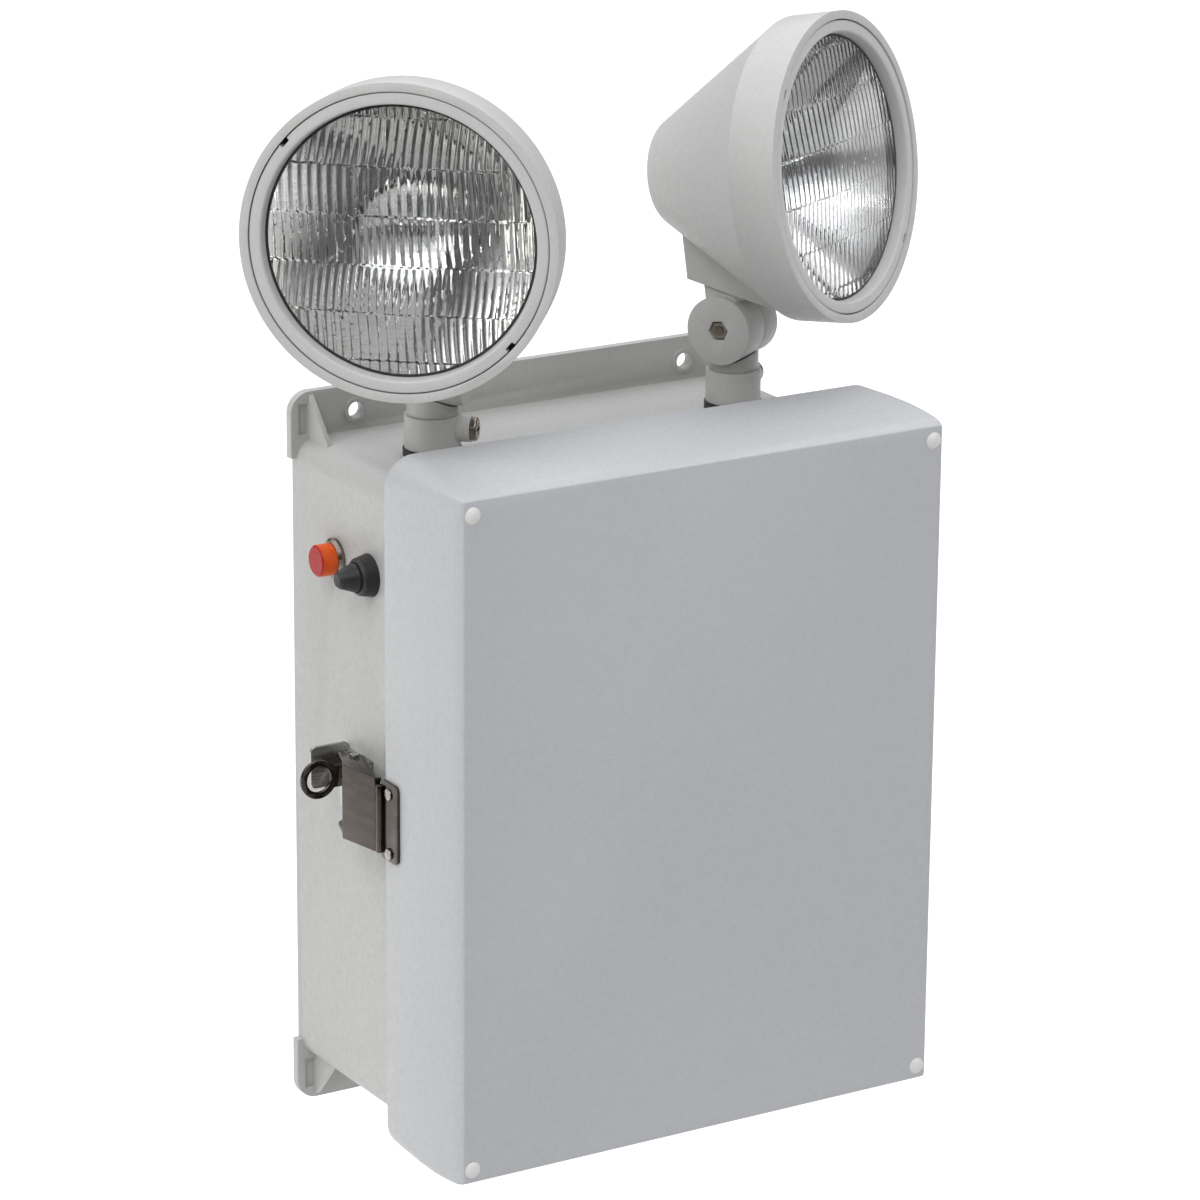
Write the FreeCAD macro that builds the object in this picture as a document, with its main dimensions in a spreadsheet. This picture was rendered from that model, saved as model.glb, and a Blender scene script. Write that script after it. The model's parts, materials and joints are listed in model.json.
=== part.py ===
import FreeCAD, Part
import math
import os
import re
import Sketcher

"""Wet-location emergency lighting unit with two aimable lamp heads.

Millimetres.  The origin is the centre of the four wall holes on the back face.
+X is to the right as seen from the front, -Y points out of the wall, +Z is up.
Every size that drives the model is a cell of the sheet "Sizes"; every other
size is an expression of those cells.
"""

SIZES = {
    # moulded back box with its wall flange
    "box_half_x": 107.5, "box_half_z": 137.5, "box_depth": 100.5, "box_wall": 4.0,
    "box_corner": 10.0, "flange_half_x": 110.0, "flange_half_z": 156.7, "flange_corner": 9.0,
    "ear_start_z": 129.0, "wall_hole_x": 80.0, "wall_hole_z": 146.0, "wall_hole_r": 3.5,
    "rim_flange": 3.5, "rim_gap": 0.6, "gusset_x": 100.6, "gusset_thick": 2.0, "gusset_foot": 20.0,
    "conduit_r": 11.1, "conduit_z": 105.0,
    # hinged cover
    "cover_half_x": 117.9, "cover_top": 153.8, "cover_bottom": 143.9, "cover_rear": 95.9,
    "cover_front": 151.8, "cover_wall": 4.4, "cover_face": 3.8, "cover_corner": 13.5, "front_corner": 6.8,
    "cover_front_round": 5.6, "cover_rear_round": 2.0, "gasket_thick": 3.0, "gasket_width": 6.0,
    "plug_x": 108.65, "plug_top": 142.6, "plug_bottom": 133.3, "plug_r": 3.5,
    # hinge on the right side
    "hinge_x": 122.0, "hinge_y": 93.0, "hinge_pin_r": 1.5, "hinge_barrel_r": 3.0,
    "hinge_half_z": 90.0, "sheet_steel": 1.2, "knuckle_len": 22.5, "rivet_r": 2.5, "rivet_head": 1.0,
    # toggle latch on the left side
    "latch_low": -13.3, "latch_high": 18.2, "latch_pin_x": 113.5, "latch_pin_y": 63.0,
    "latch_pin_r": 2.0, "latch_sheet": 1.3, "eye_r": 8.3, "eye_hole_r": 5.5, "eye_x": 127.6, "eye_z": 8.8,
    # pilot lamp and test button on the left side
    "pilot_y": 37.5, "pilot_z": 94.9, "pilot_r": 6.7, "pilot_out": 9.6, "bezel_r": 8.4,
    "button_y": 65.8, "button_z": 95.2, "button_r": 9.0, "button_out": 15.0, "bush_r": 6.0,
    # stems of the lamp heads
    "stem_x": 72.46, "stem_y": 55.8, "nipple_r": 8.0, "nipple_bore": 5.5, "pad_r": 12.2, "seat_pad": 1.2,
    "pad_top": 141.9, "collar_r": 11.6, "collar_top": 155.9, "boss_r": 5.4, "boss_reach": 16.2,
    "boss_z": 150.3, "clamp_head_r": 4.9, "clamp_head": 2.8, "clamp_screw_r": 2.0, "neck_r": 10.5, "knuckle_z": 174.8, "knuckle_r": 14.4,
    "head_side": 14.2, "neck_side": 12.0, "bolt_r": 2.0,
    # lamp heads, measured from the knuckle axis
    "head_front": 61.1, "head_rise": 65.2, "rim_r": 64.0, "band_r": 62.8, "band_len": 21.0,
    "seat_r": 60.5, "seat_depth": 17.0, "rear_r": 22.4, "head_depth": 82.5, "shell_wall": 3.0,
    "ring_r": 60.1, "ring_open_front": 55.3, "ring_open_rear": 54.3, "ring_depth": 5.6,
    "notch_in": 1.6, "notch_half": 2.1, "lamp_r": 57.15, "dome_r": 53.2, "lens_crown": 4.4, "lens_thick": 3.0,
    "pan_right": 29.3, "tilt_right": 8.1, "pan_left": -42.1, "tilt_left": 0.5,
    # parts inside the box
    "panel_half_x": 88.0, "panel_low": -126.0, "panel_high": 66.0, "panel_y": 12.0,
    "battery_x": 151.0, "battery_y": 50.0, "battery_z": 94.0, "battery_gap": 1.0,
}

DOC = FreeCAD.newDocument("emergency_light")
SHEET = DOC.addObject("Spreadsheet::Sheet", "Sizes")
for row, (alias, number) in enumerate(SIZES.items(), start=1):
    SHEET.set(f"A{row}", alias)
    SHEET.set(f"B{row}", str(number))
    SHEET.setAlias(f"B{row}", alias)
DOC.recompute()

PARTS = []
SIDES = {"left": -1, "right": 1}
CORNERS = [(-1, -1), (1, -1), (-1, 1), (1, 1)]


def ref(text):
    """Turn a formula in sheet names into an expression that FreeCAD reads."""
    def cell(match):
        word = match.group(0)
        return f"Sizes.{word}" if word in SIZES else word
    return re.sub(r"[A-Za-z_][A-Za-z_0-9]*", cell, str(text))


def size(text):
    """Value in millimetres or degrees of a formula in sheet names."""
    return float(SHEET.evalExpression(ref(text)))


# ---------------------------------------------------------------- sketch helpers

def new_body(label):
    body = DOC.addObject("PartDesign::Body", label)
    body.Label = label
    PARTS.append(body)
    return body


def sketch_on(body, role, offset="0", shift=("0", "0"), turn=0.0):
    """Sketch on one of the body's own origin planes, moved along its normal."""
    plane = [f for f in body.Origin.OriginFeatures if f.Role == role][0]
    sketch = body.newObject("Sketcher::SketchObject", body.Label + "_sketch")
    sketch.AttachmentSupport = (plane, [""])
    sketch.MapMode = "FlatFace"
    sketch.AttachmentOffset = FreeCAD.Placement(
        FreeCAD.Vector(0, 0, 0), FreeCAD.Rotation(FreeCAD.Vector(0, 0, 1), turn))
    sketch.setExpression("AttachmentOffset.Base.x", ref(shift[0]))
    sketch.setExpression("AttachmentOffset.Base.y", ref(shift[1]))
    sketch.setExpression("AttachmentOffset.Base.z", ref(offset))
    return sketch


def fix(sketch, kind, where, text):
    """Add a driving distance and bind it to a formula."""
    index = sketch.addConstraint(Sketcher.Constraint(kind, *where, size(text)))
    sketch.setExpression(f"Constraints[{index}]", ref(text))


def add_circle(sketch, x, y, radius):
    centre = FreeCAD.Vector(size(x), size(y), 0)
    circle = sketch.addGeometry(Part.Circle(centre, FreeCAD.Vector(0, 0, 1), size(radius)), False)
    fix(sketch, "DistanceX", (-1, 1, circle, 3), x)
    fix(sketch, "DistanceY", (-1, 1, circle, 3), y)
    fix(sketch, "Radius", (circle,), radius)


def add_outline(sketch, points, domes=()):
    """Closed outline of straight lines; a line named in domes is an arc centred on H_Axis."""
    spots = [FreeCAD.Vector(size(x), size(y), 0) for x, y in points]
    first = sketch.GeometryCount
    for i, start in enumerate(spots):
        end = spots[(i + 1) % len(spots)]
        if i in domes:
            sketch.addGeometry(axis_arc(start, end), False)
        else:
            sketch.addGeometry(Part.LineSegment(start, end), False)
    ends = {}
    for i in range(len(spots)):
        flipped = i in domes and (sketch.getPoint(first + i, 1) - spots[i]).Length > 1e-6
        ends[i] = (2, 1) if flipped else (1, 2)
    for i in range(len(spots)):
        j = (i + 1) % len(spots)
        sketch.addConstraint(Sketcher.Constraint("Coincident", first + i, ends[i][1],
                                                 first + j, ends[j][0]))
        fix(sketch, "DistanceX", (-1, 1, first + i, ends[i][0]), points[i][0])
        fix(sketch, "DistanceY", (-1, 1, first + i, ends[i][0]), points[i][1])
    for i in domes:
        sketch.addConstraint(Sketcher.Constraint("PointOnObject", first + i, 3, -1))


def axis_arc(start, end):
    """Arc from start to end whose centre lies on the sketch's horizontal axis."""
    centre_x = (end.x ** 2 + end.y ** 2 - start.x ** 2 - start.y ** 2) / (2 * (end.x - start.x))
    centre = FreeCAD.Vector(centre_x, 0, 0)
    radius = (start - centre).Length
    middle = ((start - centre) + (end - centre)).normalize() * radius + centre
    return Part.Arc(start, middle, end)


def add_rounded(sketch, x0, x1, y0, y1, radius):
    """Rectangle with four equal round corners."""
    left, right, low, high, r = size(x0), size(x1), size(y0), size(y1), size(radius)
    vec = FreeCAD.Vector
    n = sketch.GeometryCount
    sketch.addGeometry(Part.LineSegment(vec(left + r, low), vec(right - r, low)), False)
    sketch.addGeometry(Part.LineSegment(vec(right, low + r), vec(right, high - r)), False)
    sketch.addGeometry(Part.LineSegment(vec(right - r, high), vec(left + r, high)), False)
    sketch.addGeometry(Part.LineSegment(vec(left, high - r), vec(left, low + r)), False)
    quarter = math.pi / 2
    for i, (cx, cy) in enumerate(((right - r, low + r), (right - r, high - r),
                                  (left + r, high - r), (left + r, low + r))):
        circle = Part.Circle(vec(cx, cy), vec(0, 0, 1), r)
        sketch.addGeometry(Part.ArcOfCircle(circle, (i - 1) * quarter, i * quarter), False)
    for i in range(4):
        sketch.addConstraint(Sketcher.Constraint("Tangent", n + i, 2, n + 4 + i, 1))
        sketch.addConstraint(Sketcher.Constraint("Tangent", n + 4 + i, 2, n + (i + 1) % 4, 1))
    for i in (0, 2):
        sketch.addConstraint(Sketcher.Constraint("Horizontal", n + i))
        sketch.addConstraint(Sketcher.Constraint("Vertical", n + i + 1))
    for i in (5, 6, 7):
        sketch.addConstraint(Sketcher.Constraint("Equal", n + 4, n + i))
    fix(sketch, "Radius", (n + 4,), radius)
    fix(sketch, "DistanceY", (-1, 1, n, 1), y0)
    fix(sketch, "DistanceX", (-1, 1, n + 1, 1), x1)
    fix(sketch, "DistanceY", (-1, 1, n + 2, 1), y1)
    fix(sketch, "DistanceX", (-1, 1, n + 3, 1), x0)


def add_box(sketch, x0, x1, y0, y1):
    add_outline(sketch, [(x0, y0), (x1, y0), (x1, y1), (x0, y1)])


def add_hexagon(sketch, x, y, across):
    reach = f"({across}) / sqrt(3)"
    points = []
    for k in range(6):
        angle = 60 * k
        points.append((f"{x} + {reach} * cos({angle} deg)", f"{y} + {reach} * sin({angle} deg)"))
    add_outline(sketch, points)


# ---------------------------------------------------------------- feature helpers

def pad(body, sketch, length, reverse=False):
    feature = body.newObject("PartDesign::Pad", body.Label + "_pad")
    feature.Profile = sketch
    feature.setExpression("Length", ref(length))
    feature.Reversed = reverse
    DOC.recompute()
    return feature


def pocket(body, sketch, length, reverse=False):
    """Cut a sketch into the body and stop if it removed nothing."""
    before = body.Shape.Volume
    feature = body.newObject("PartDesign::Pocket", body.Label + "_pocket")
    feature.Profile = sketch
    feature.setExpression("Length", ref(length))
    feature.Reversed = reverse
    DOC.recompute()
    if body.Shape.Volume >= before - 1e-6:
        raise RuntimeError(body.Label + ": a pocket cut nothing")
    return feature


def turn(body, sketch, cut=False, axis="H_Axis"):
    kind = "PartDesign::Groove" if cut else "PartDesign::Revolution"
    before = body.Shape.Volume if cut else 0.0
    feature = body.newObject(kind, body.Label + "_turn")
    feature.Profile = sketch
    feature.ReferenceAxis = (sketch, [axis])
    feature.Angle = 360
    DOC.recompute()
    if cut and body.Shape.Volume >= before - 1e-6:
        raise RuntimeError(body.Label + ": a groove cut nothing")
    return feature


def round_edges(body, radius, wanted):
    """Fillet the edges of the newest feature that pass a test."""
    tip = body.Tip
    names = [f"Edge{i}" for i, edge in enumerate(tip.Shape.Edges, start=1) if wanted(edge)]
    feature = body.newObject("PartDesign::Fillet", body.Label + "_round")
    feature.Base = (tip, names)
    feature.setExpression("Radius", ref(radius))
    DOC.recompute()
    return feature


def lies_at(edge, axis, value):
    """True where the whole edge lies at one value of x, y or z."""
    box = edge.BoundBox
    low, high = {"x": (box.XMin, box.XMax), "y": (box.YMin, box.YMax),
                 "z": (box.ZMin, box.ZMax)}[axis]
    return abs(low - value) < 0.01 and abs(high - value) < 0.01


def tube(label, outer, inner, low, high):
    """Upright tube or disc on the local Z axis."""
    body = new_body(label)
    sketch = sketch_on(body, "XY_Plane", low)
    add_circle(sketch, "0", "0", outer)
    if inner is not None:
        add_circle(sketch, "0", "0", inner)
    pad(body, sketch, f"({high}) - ({low})")
    return body


def side_rod(body, x0, x1, y, z, radius):
    """Add a round rod along X to a body."""
    sketch = sketch_on(body, "YZ_Plane", x0)
    add_circle(sketch, y, z, radius)
    pad(body, sketch, f"({x1}) - ({x0})")


def block(label, x0, x1, y0, y1, z0, z1):
    body = new_body(label)
    sketch = sketch_on(body, "XY_Plane", z0)
    add_box(sketch, x0, x1, y0, y1)
    pad(body, sketch, f"({z1}) - ({z0})")
    return body


def solids_in_one(label, shapes):
    """One node that holds several equal loose solids."""
    feature = DOC.addObject("Part::Feature", label)
    feature.Label = label
    feature.Shape = Part.makeCompound(shapes)
    feature.Placement = FreeCAD.Placement()
    PARTS.append(feature)
    return feature


def pan_head_screw(centre, axis, head_r, head_h, shank_r, shank_len):
    """Screw whose head stands on centre along axis and whose shank goes the other way."""
    direction = FreeCAD.Vector(*axis)
    head = Part.makeCylinder(head_r, head_h, centre, direction)
    top_edge = [e for e in head.Edges if e.Closed and (e.CenterOfMass - centre).Length > head_h / 2]
    head = head.makeFillet(head_h * 0.4, top_edge)
    slot_at = centre + direction * (head_h * 0.6)
    for quarter_turn in (0, 90):
        bar = Part.makeBox(head_r, head_r * 0.25, head_h, FreeCAD.Vector(-head_r / 2, -head_r * 0.125, 0))
        bar.rotate(FreeCAD.Vector(0, 0, 0), FreeCAD.Vector(0, 0, 1), quarter_turn)
        bar.Placement = FreeCAD.Placement(
            slot_at, FreeCAD.Rotation(FreeCAD.Vector(0, 0, 1), direction)).multiply(bar.Placement)
        head = head.cut(bar)
    shank = Part.makeCylinder(shank_r, shank_len + 0.2, centre + direction * 0.2, direction * -1)
    return head.fuse(shank).removeSplitter()


# ---------------------------------------------------------------- box and cover

def make_back_box():
    body = new_body("back_box")
    plate = sketch_on(body, "XZ_Plane")
    add_rounded(plate, "-flange_half_x", "flange_half_x", "-flange_half_z", "flange_half_z",
                "flange_corner")
    pad(body, plate, "box_wall")
    waist = sketch_on(body, "XZ_Plane", "box_wall")
    add_box(waist, "-flange_half_x - 1", "-box_half_x", "-ear_start_z", "ear_start_z")
    add_box(waist, "box_half_x", "flange_half_x + 1", "-ear_start_z", "ear_start_z")
    pocket(body, waist, "box_wall + 1")
    tray = sketch_on(body, "XZ_Plane")
    add_rounded(tray, "-box_half_x", "box_half_x", "-box_half_z", "box_half_z", "box_corner")
    pad(body, tray, "box_depth")
    rim = sketch_on(body, "XZ_Plane", "box_depth - rim_flange")
    add_rounded(rim, "-cover_half_x + cover_wall + rim_gap", "cover_half_x - cover_wall - rim_gap",
                "-cover_bottom + cover_wall + rim_gap", "cover_top - cover_wall - rim_gap",
                "cover_corner - cover_wall - rim_gap")
    pad(body, rim, "rim_flange")
    for x_side, z_side in CORNERS:
        gusset = sketch_on(body, "YZ_Plane", f"{x_side} * gusset_x - gusset_thick / 2")
        add_outline(gusset, [("-1", f"{z_side} * (box_half_z - 2.5)"),
                             ("-1", f"{z_side} * (flange_half_z - 1.5)"),
                             ("-box_wall - 0.5", f"{z_side} * (flange_half_z - 1.5)"),
                             ("-gusset_foot", f"{z_side} * (box_half_z - 0.2)"),
                             ("-gusset_foot", f"{z_side} * (box_half_z - 2.5)")])
        pad(body, gusset, "gusset_thick")
    dish = sketch_on(body, "XZ_Plane", "box_wall")
    for x_side, z_side in CORNERS:
        near, far = sorted((f"{x_side} * (gusset_x + gusset_thick / 2 + 0.6)",
                            f"{x_side} * (flange_half_x - 3.6)"), key=size)
        low, high = sorted((f"{z_side} * (box_half_z + 1.2)", f"{z_side} * (flange_half_z - 5)"),
                           key=size)
        add_box(dish, near, far, low, high)
    pocket(body, dish, "1.4", reverse=False)
    hollow = sketch_on(body, "XZ_Plane", "box_wall")
    add_rounded(hollow, "-box_half_x + box_wall", "box_half_x - box_wall",
                "-box_half_z + box_wall", "box_half_z - box_wall", "box_corner - box_wall")
    pocket(body, hollow, "box_depth", reverse=True)
    eyes = sketch_on(body, "XZ_Plane", "box_wall")
    for x_side, z_side in CORNERS:
        add_circle(eyes, f"{x_side} * wall_hole_x", f"{z_side} * wall_hole_z", "wall_hole_r + 1.8")
    pad(body, eyes, "0.8")
    holes = sketch_on(body, "XZ_Plane", "box_wall + 1")
    for x_side, z_side in CORNERS:
        add_circle(holes, f"{x_side} * wall_hole_x", f"{z_side} * wall_hole_z", "wall_hole_r")
    add_circle(holes, "0", "conduit_z", "conduit_r")
    pocket(body, holes, "box_wall + 2")
    seats = sketch_on(body, "XY_Plane", "box_half_z - 0.5")
    for x_side in SIDES.values():
        add_circle(seats, f"{x_side} * stem_x", "-stem_y", "pad_r + 1.2")
    pad(body, seats, "seat_pad + 0.5")
    stems = sketch_on(body, "XY_Plane", "box_half_z + 2")
    for x_side in SIDES.values():
        add_circle(stems, f"{x_side} * stem_x", "-stem_y", "nipple_r + 0.1")
    pocket(body, stems, "box_wall + 3")
    side_holes = sketch_on(body, "YZ_Plane", "-box_half_x - 1")
    add_circle(side_holes, "-pilot_y", "pilot_z", "bush_r + 0.1")
    add_circle(side_holes, "-button_y", "button_z", "bush_r + 0.1")
    pocket(body, side_holes, "box_wall + 2", reverse=True)
    posts = sketch_on(body, "XZ_Plane", "box_wall - 0.5")
    for x_side in SIDES.values():
        for z_edge in ("panel_low + 10", "panel_high - 10"):
            add_circle(posts, f"{x_side} * (panel_half_x - 7)", z_edge, "5")
            add_circle(posts, f"{x_side} * (panel_half_x - 7)", z_edge, "1.7")
    pad(body, posts, "panel_y - box_wall + 0.5")
    return body


def make_front_cover():
    body = new_body("front_cover")
    rear = sketch_on(body, "XZ_Plane", "cover_rear")
    add_rounded(rear, "-cover_half_x", "cover_half_x", "-cover_bottom", "cover_top", "cover_corner")
    face = sketch_on(body, "XZ_Plane", "cover_front")
    add_rounded(face, "-cover_half_x", "cover_half_x", "-cover_bottom", "cover_top", "front_corner")
    loft = body.newObject("PartDesign::AdditiveLoft", body.Label + "_loft")
    loft.Profile = rear
    loft.Sections = [face]
    loft.Ruled = True
    DOC.recompute()
    front_y, rear_y = -size("cover_front"), -size("cover_rear")
    round_edges(body, "cover_front_round", lambda edge: lies_at(edge, "y", front_y))
    round_edges(body, "cover_rear_round", lambda edge: lies_at(edge, "y", rear_y))
    hollow = sketch_on(body, "XZ_Plane", "cover_rear - 1")
    add_rounded(hollow, "-cover_half_x + cover_wall", "cover_half_x - cover_wall",
                "-cover_bottom + cover_wall", "cover_top - cover_wall", "cover_corner - cover_wall")
    pocket(body, hollow, "cover_front - cover_face - cover_rear + 1", reverse=True)
    ledge = sketch_on(body, "XZ_Plane", "box_depth + gasket_thick + 0.25")
    add_rounded(ledge, "-cover_half_x + 2", "cover_half_x - 2", "-cover_bottom + 2",
                "cover_top - 2", "cover_corner - 2")
    add_rounded(ledge, "-box_half_x - 0.5", "box_half_x + 0.5", "-cover_bottom + cover_wall + 6.5",
                "cover_top - cover_wall - 6.5", "cover_corner - cover_wall - 6.5")
    pad(body, ledge, "3")
    sockets = sketch_on(body, "XZ_Plane", "cover_front + 1")
    for x_side in SIDES.values():
        add_circle(sockets, f"{x_side} * plug_x", "plug_top", "2")
        add_circle(sockets, f"{x_side} * plug_x", "-plug_bottom", "2")
    pocket(body, sockets, "3")
    return body


def make_cover_gasket():
    body = new_body("cover_gasket")
    strip = sketch_on(body, "XZ_Plane", "box_depth + 0.05")
    inset = "cover_wall + rim_gap"
    add_rounded(strip, f"-cover_half_x + {inset}", f"cover_half_x - {inset}",
                f"-cover_bottom + {inset}", f"cover_top - {inset}", f"cover_corner - {inset}")
    pad(body, strip, "gasket_thick")
    opening = sketch_on(body, "XZ_Plane", "box_depth - 1")
    inner = "cover_wall + gasket_width"
    add_rounded(opening, f"-cover_half_x + {inner}", f"cover_half_x - {inner}",
                f"-cover_bottom + {inner}", f"cover_top - {inner}", f"cover_corner - {inner}")
    pocket(body, opening, "gasket_thick + 2", reverse=True)
    return body


def make_corner_plugs():
    shapes = []
    for x_side in SIDES.values():
        for z in (size("plug_top"), -size("plug_bottom")):
            seat = FreeCAD.Vector(x_side * size("plug_x"), -size("cover_front"), z)
            cap_r, cap_h = size("plug_r"), 1.3
            ball_r = (cap_r ** 2 + cap_h ** 2) / (2 * cap_h)
            ball = Part.makeSphere(ball_r, seat + FreeCAD.Vector(0, ball_r - cap_h, 0))
            keep = Part.makeCylinder(cap_r, cap_h, seat, FreeCAD.Vector(0, -1, 0))
            stem = Part.makeCylinder(1.9, 1.9, seat, FreeCAD.Vector(0, 1, 0))
            shapes.append(ball.common(keep).fuse(stem))
    return solids_in_one("corner_plugs", shapes)


# ---------------------------------------------------------------- hinge

def hinge_knuckles(body, first):
    """Every second barrel of the hinge, starting with the given one."""
    pitch = size("knuckle_len")
    count = int(2 * size("hinge_half_z") / pitch)
    for k in range(first, count, 2):
        sketch = sketch_on(body, "XY_Plane", f"-hinge_half_z + {k} * knuckle_len + 0.15")
        add_circle(sketch, "hinge_x", "-hinge_y", "hinge_barrel_r")
        pad(body, sketch, "knuckle_len - 0.3")
        web = sketch_on(body, "XY_Plane", f"-hinge_half_z + {k} * knuckle_len + 0.15")
        if first == 0:
            add_outline(web, [("cover_half_x - 6", "-hinge_y + 1.6"), ("hinge_x - 1", "-hinge_y + 1.6"),
                              ("hinge_x - 1", "-hinge_y + 2.8"), ("cover_half_x - 6", "-hinge_y + 2.8")])
        else:
            add_outline(web, [("cover_half_x", "-hinge_y - 6"), ("cover_half_x + 1.2", "-hinge_y - 6"),
                              ("hinge_x - 1", "-hinge_y - 2.6"), ("hinge_x - 1", "-hinge_y"),
                              ("hinge_x - 2.6", "-hinge_y")])
        pad(body, web, "knuckle_len - 0.3")
    bore = sketch_on(body, "XY_Plane", "hinge_half_z + 1")
    add_circle(bore, "hinge_x", "-hinge_y", "hinge_pin_r + 0.05")
    pocket(body, bore, "2 * hinge_half_z + 2")


def make_hinge():
    fixed = new_body("hinge_leaf_box")
    leaf = sketch_on(fixed, "XY_Plane", "-hinge_half_z")
    add_outline(leaf, [("box_half_x", "-hinge_y + 24"), ("box_half_x", "-hinge_y + 1.6"),
                       ("cover_half_x - 5", "-hinge_y + 1.6"), ("cover_half_x - 5", "-hinge_y + 2.8"),
                       ("box_half_x + sheet_steel", "-hinge_y + 2.8"),
                       ("box_half_x + sheet_steel", "-hinge_y + 24")])
    pad(fixed, leaf, "2 * hinge_half_z")
    hinge_knuckles(fixed, 0)
    swing = new_body("hinge_leaf_cover")
    plate = sketch_on(swing, "YZ_Plane", "cover_half_x")
    add_box(plate, "-hinge_y - 25", "-hinge_y - 5.6", "-hinge_half_z", "hinge_half_z")
    pad(swing, plate, "sheet_steel")
    hinge_knuckles(swing, 1)
    pin = tube("hinge_pin", "hinge_pin_r", None, "-hinge_half_z - 1", "hinge_half_z + 1")
    pin.Placement = FreeCAD.Placement(
        FreeCAD.Vector(size("hinge_x"), -size("hinge_y"), 0), FreeCAD.Rotation())


def make_rivets():
    """Two sets of rivets: one on the box, one on the cover."""
    hinge_heights = (-75, -25, 25, 75)
    on_box = [rivet("box_half_x + sheet_steel", 1, "14 - hinge_y", z) for z in hinge_heights]
    on_box += [rivet("box_half_x + latch_sheet", -1, "11.5 - latch_pin_y", z) for z in (-4.5, 9.5)]
    solids_in_one("box_rivets", on_box)
    on_cover = [rivet("cover_half_x + sheet_steel", 1, "-hinge_y - 17", z) for z in hinge_heights]
    on_cover += [rivet("cover_half_x + latch_sheet", -1, "-102.4", z) for z in (-11.2, 14.5)]
    solids_in_one("cover_rivets", on_cover)


def rivet(x, side, y, z):
    """Flat rivet head standing outward on the left or right side."""
    seat = FreeCAD.Vector(side * size(x), size(y), z)
    return Part.makeCylinder(size("rivet_r"), size("rivet_head"), seat, FreeCAD.Vector(side, 0, 0))


# ---------------------------------------------------------------- latch

def make_latch():
    base = new_body("latch_base")
    plate = sketch_on(base, "YZ_Plane", "-box_half_x - latch_sheet")
    add_rounded(plate, "-latch_pin_y - 5", "-latch_pin_y + 22", "latch_low + 2.2",
                "latch_high - 2.2", "3")
    pad(base, plate, "latch_sheet")
    for low in ("latch_low + 2.2", "latch_high - 2.2 - latch_sheet"):
        ear = sketch_on(base, "XY_Plane", low)
        add_outline(ear, [("-box_half_x", "-latch_pin_y + 16"), ("-box_half_x", "-latch_pin_y - 5"),
                          ("-latch_pin_x - 3", "-latch_pin_y - 4"),
                          ("-latch_pin_x - 3", "-latch_pin_y + 3")])
        pad(base, ear, "latch_sheet")
    tab = sketch_on(base, "XZ_Plane", "latch_pin_y - 16.5")
    add_rounded(tab, "-box_half_x - 18", "-box_half_x", "0.8", "latch_high + 0.6", "2.4")
    pad(base, tab, "latch_sheet")
    bore = sketch_on(base, "XY_Plane", "latch_high")
    add_circle(bore, "-latch_pin_x", "-latch_pin_y", "latch_pin_r")
    pocket(base, bore, "latch_high - latch_low")
    eye = new_body("padlock_eye")
    ring = sketch_on(eye, "XZ_Plane", "latch_pin_y - 5.8")
    add_circle(ring, "-eye_x", "eye_z", "eye_r")
    pad(eye, ring, "1.8")
    foot = sketch_on(eye, "XZ_Plane", "latch_pin_y - 5.8")
    add_box(foot, "-eye_x", "-box_half_x - latch_sheet", "eye_z - 4.6", "eye_z + 4.6")
    pad(eye, foot, "1.8")
    hole = sketch_on(eye, "XZ_Plane", "latch_pin_y - 6.8")
    add_circle(hole, "-eye_x", "eye_z", "eye_hole_r")
    pocket(eye, hole, "4", reverse=True)
    pin = tube("latch_pin", "latch_pin_r", None, "latch_low - 0.6", "latch_high + 0.6")
    pin.Placement = FreeCAD.Placement(
        FreeCAD.Vector(-size("latch_pin_x"), -size("latch_pin_y"), 0), FreeCAD.Rotation())
    make_latch_lever()
    make_latch_keeper()


def make_latch_lever():
    """Channel of sheet steel: an outer plate between two side cheeks that ride on the pin."""
    lever = new_body("latch_lever")
    plate = sketch_on(lever, "XY_Plane", "latch_low")
    add_outline(plate, [("-latch_pin_x - 10.2", "-latch_pin_y - 8.2"),
                        ("-latch_pin_x - 6.2", "-latch_pin_y - 28.4"),
                        ("-latch_pin_x - 3.8", "-latch_pin_y - 29.6"),
                        ("-latch_pin_x - 3.4", "-latch_pin_y - 28.4"),
                        ("-latch_pin_x - 4.8", "-latch_pin_y - 27.4"),
                        ("-latch_pin_x - 8.7", "-latch_pin_y - 8.0"),
                        ("-latch_pin_x - 7.0", "-latch_pin_y - 5.4"),
                        ("-latch_pin_x - 8.3", "-latch_pin_y - 4.6")])
    pad(lever, plate, "latch_high - latch_low")
    for low in ("latch_low", "latch_high - latch_sheet"):
        cheek = sketch_on(lever, "XY_Plane", low)
        add_outline(cheek, [("-latch_pin_x + 3.4", "-latch_pin_y - 2.6"),
                            ("-latch_pin_x + 2.4", "-latch_pin_y + 3.2"),
                            ("-latch_pin_x - 1.4", "-latch_pin_y + 8.6"),
                            ("-latch_pin_x - 4.2", "-latch_pin_y + 6.4"),
                            ("-latch_pin_x - 9.4", "-latch_pin_y - 8.2"),
                            ("-latch_pin_x - 5.4", "-latch_pin_y - 28.2")])
        pad(lever, cheek, "latch_sheet")
    bore = sketch_on(lever, "XY_Plane", "latch_high + 1")
    add_circle(bore, "-latch_pin_x", "-latch_pin_y", "latch_pin_r + 0.05")
    pocket(lever, bore, "latch_high - latch_low + 2")
    return lever


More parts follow.
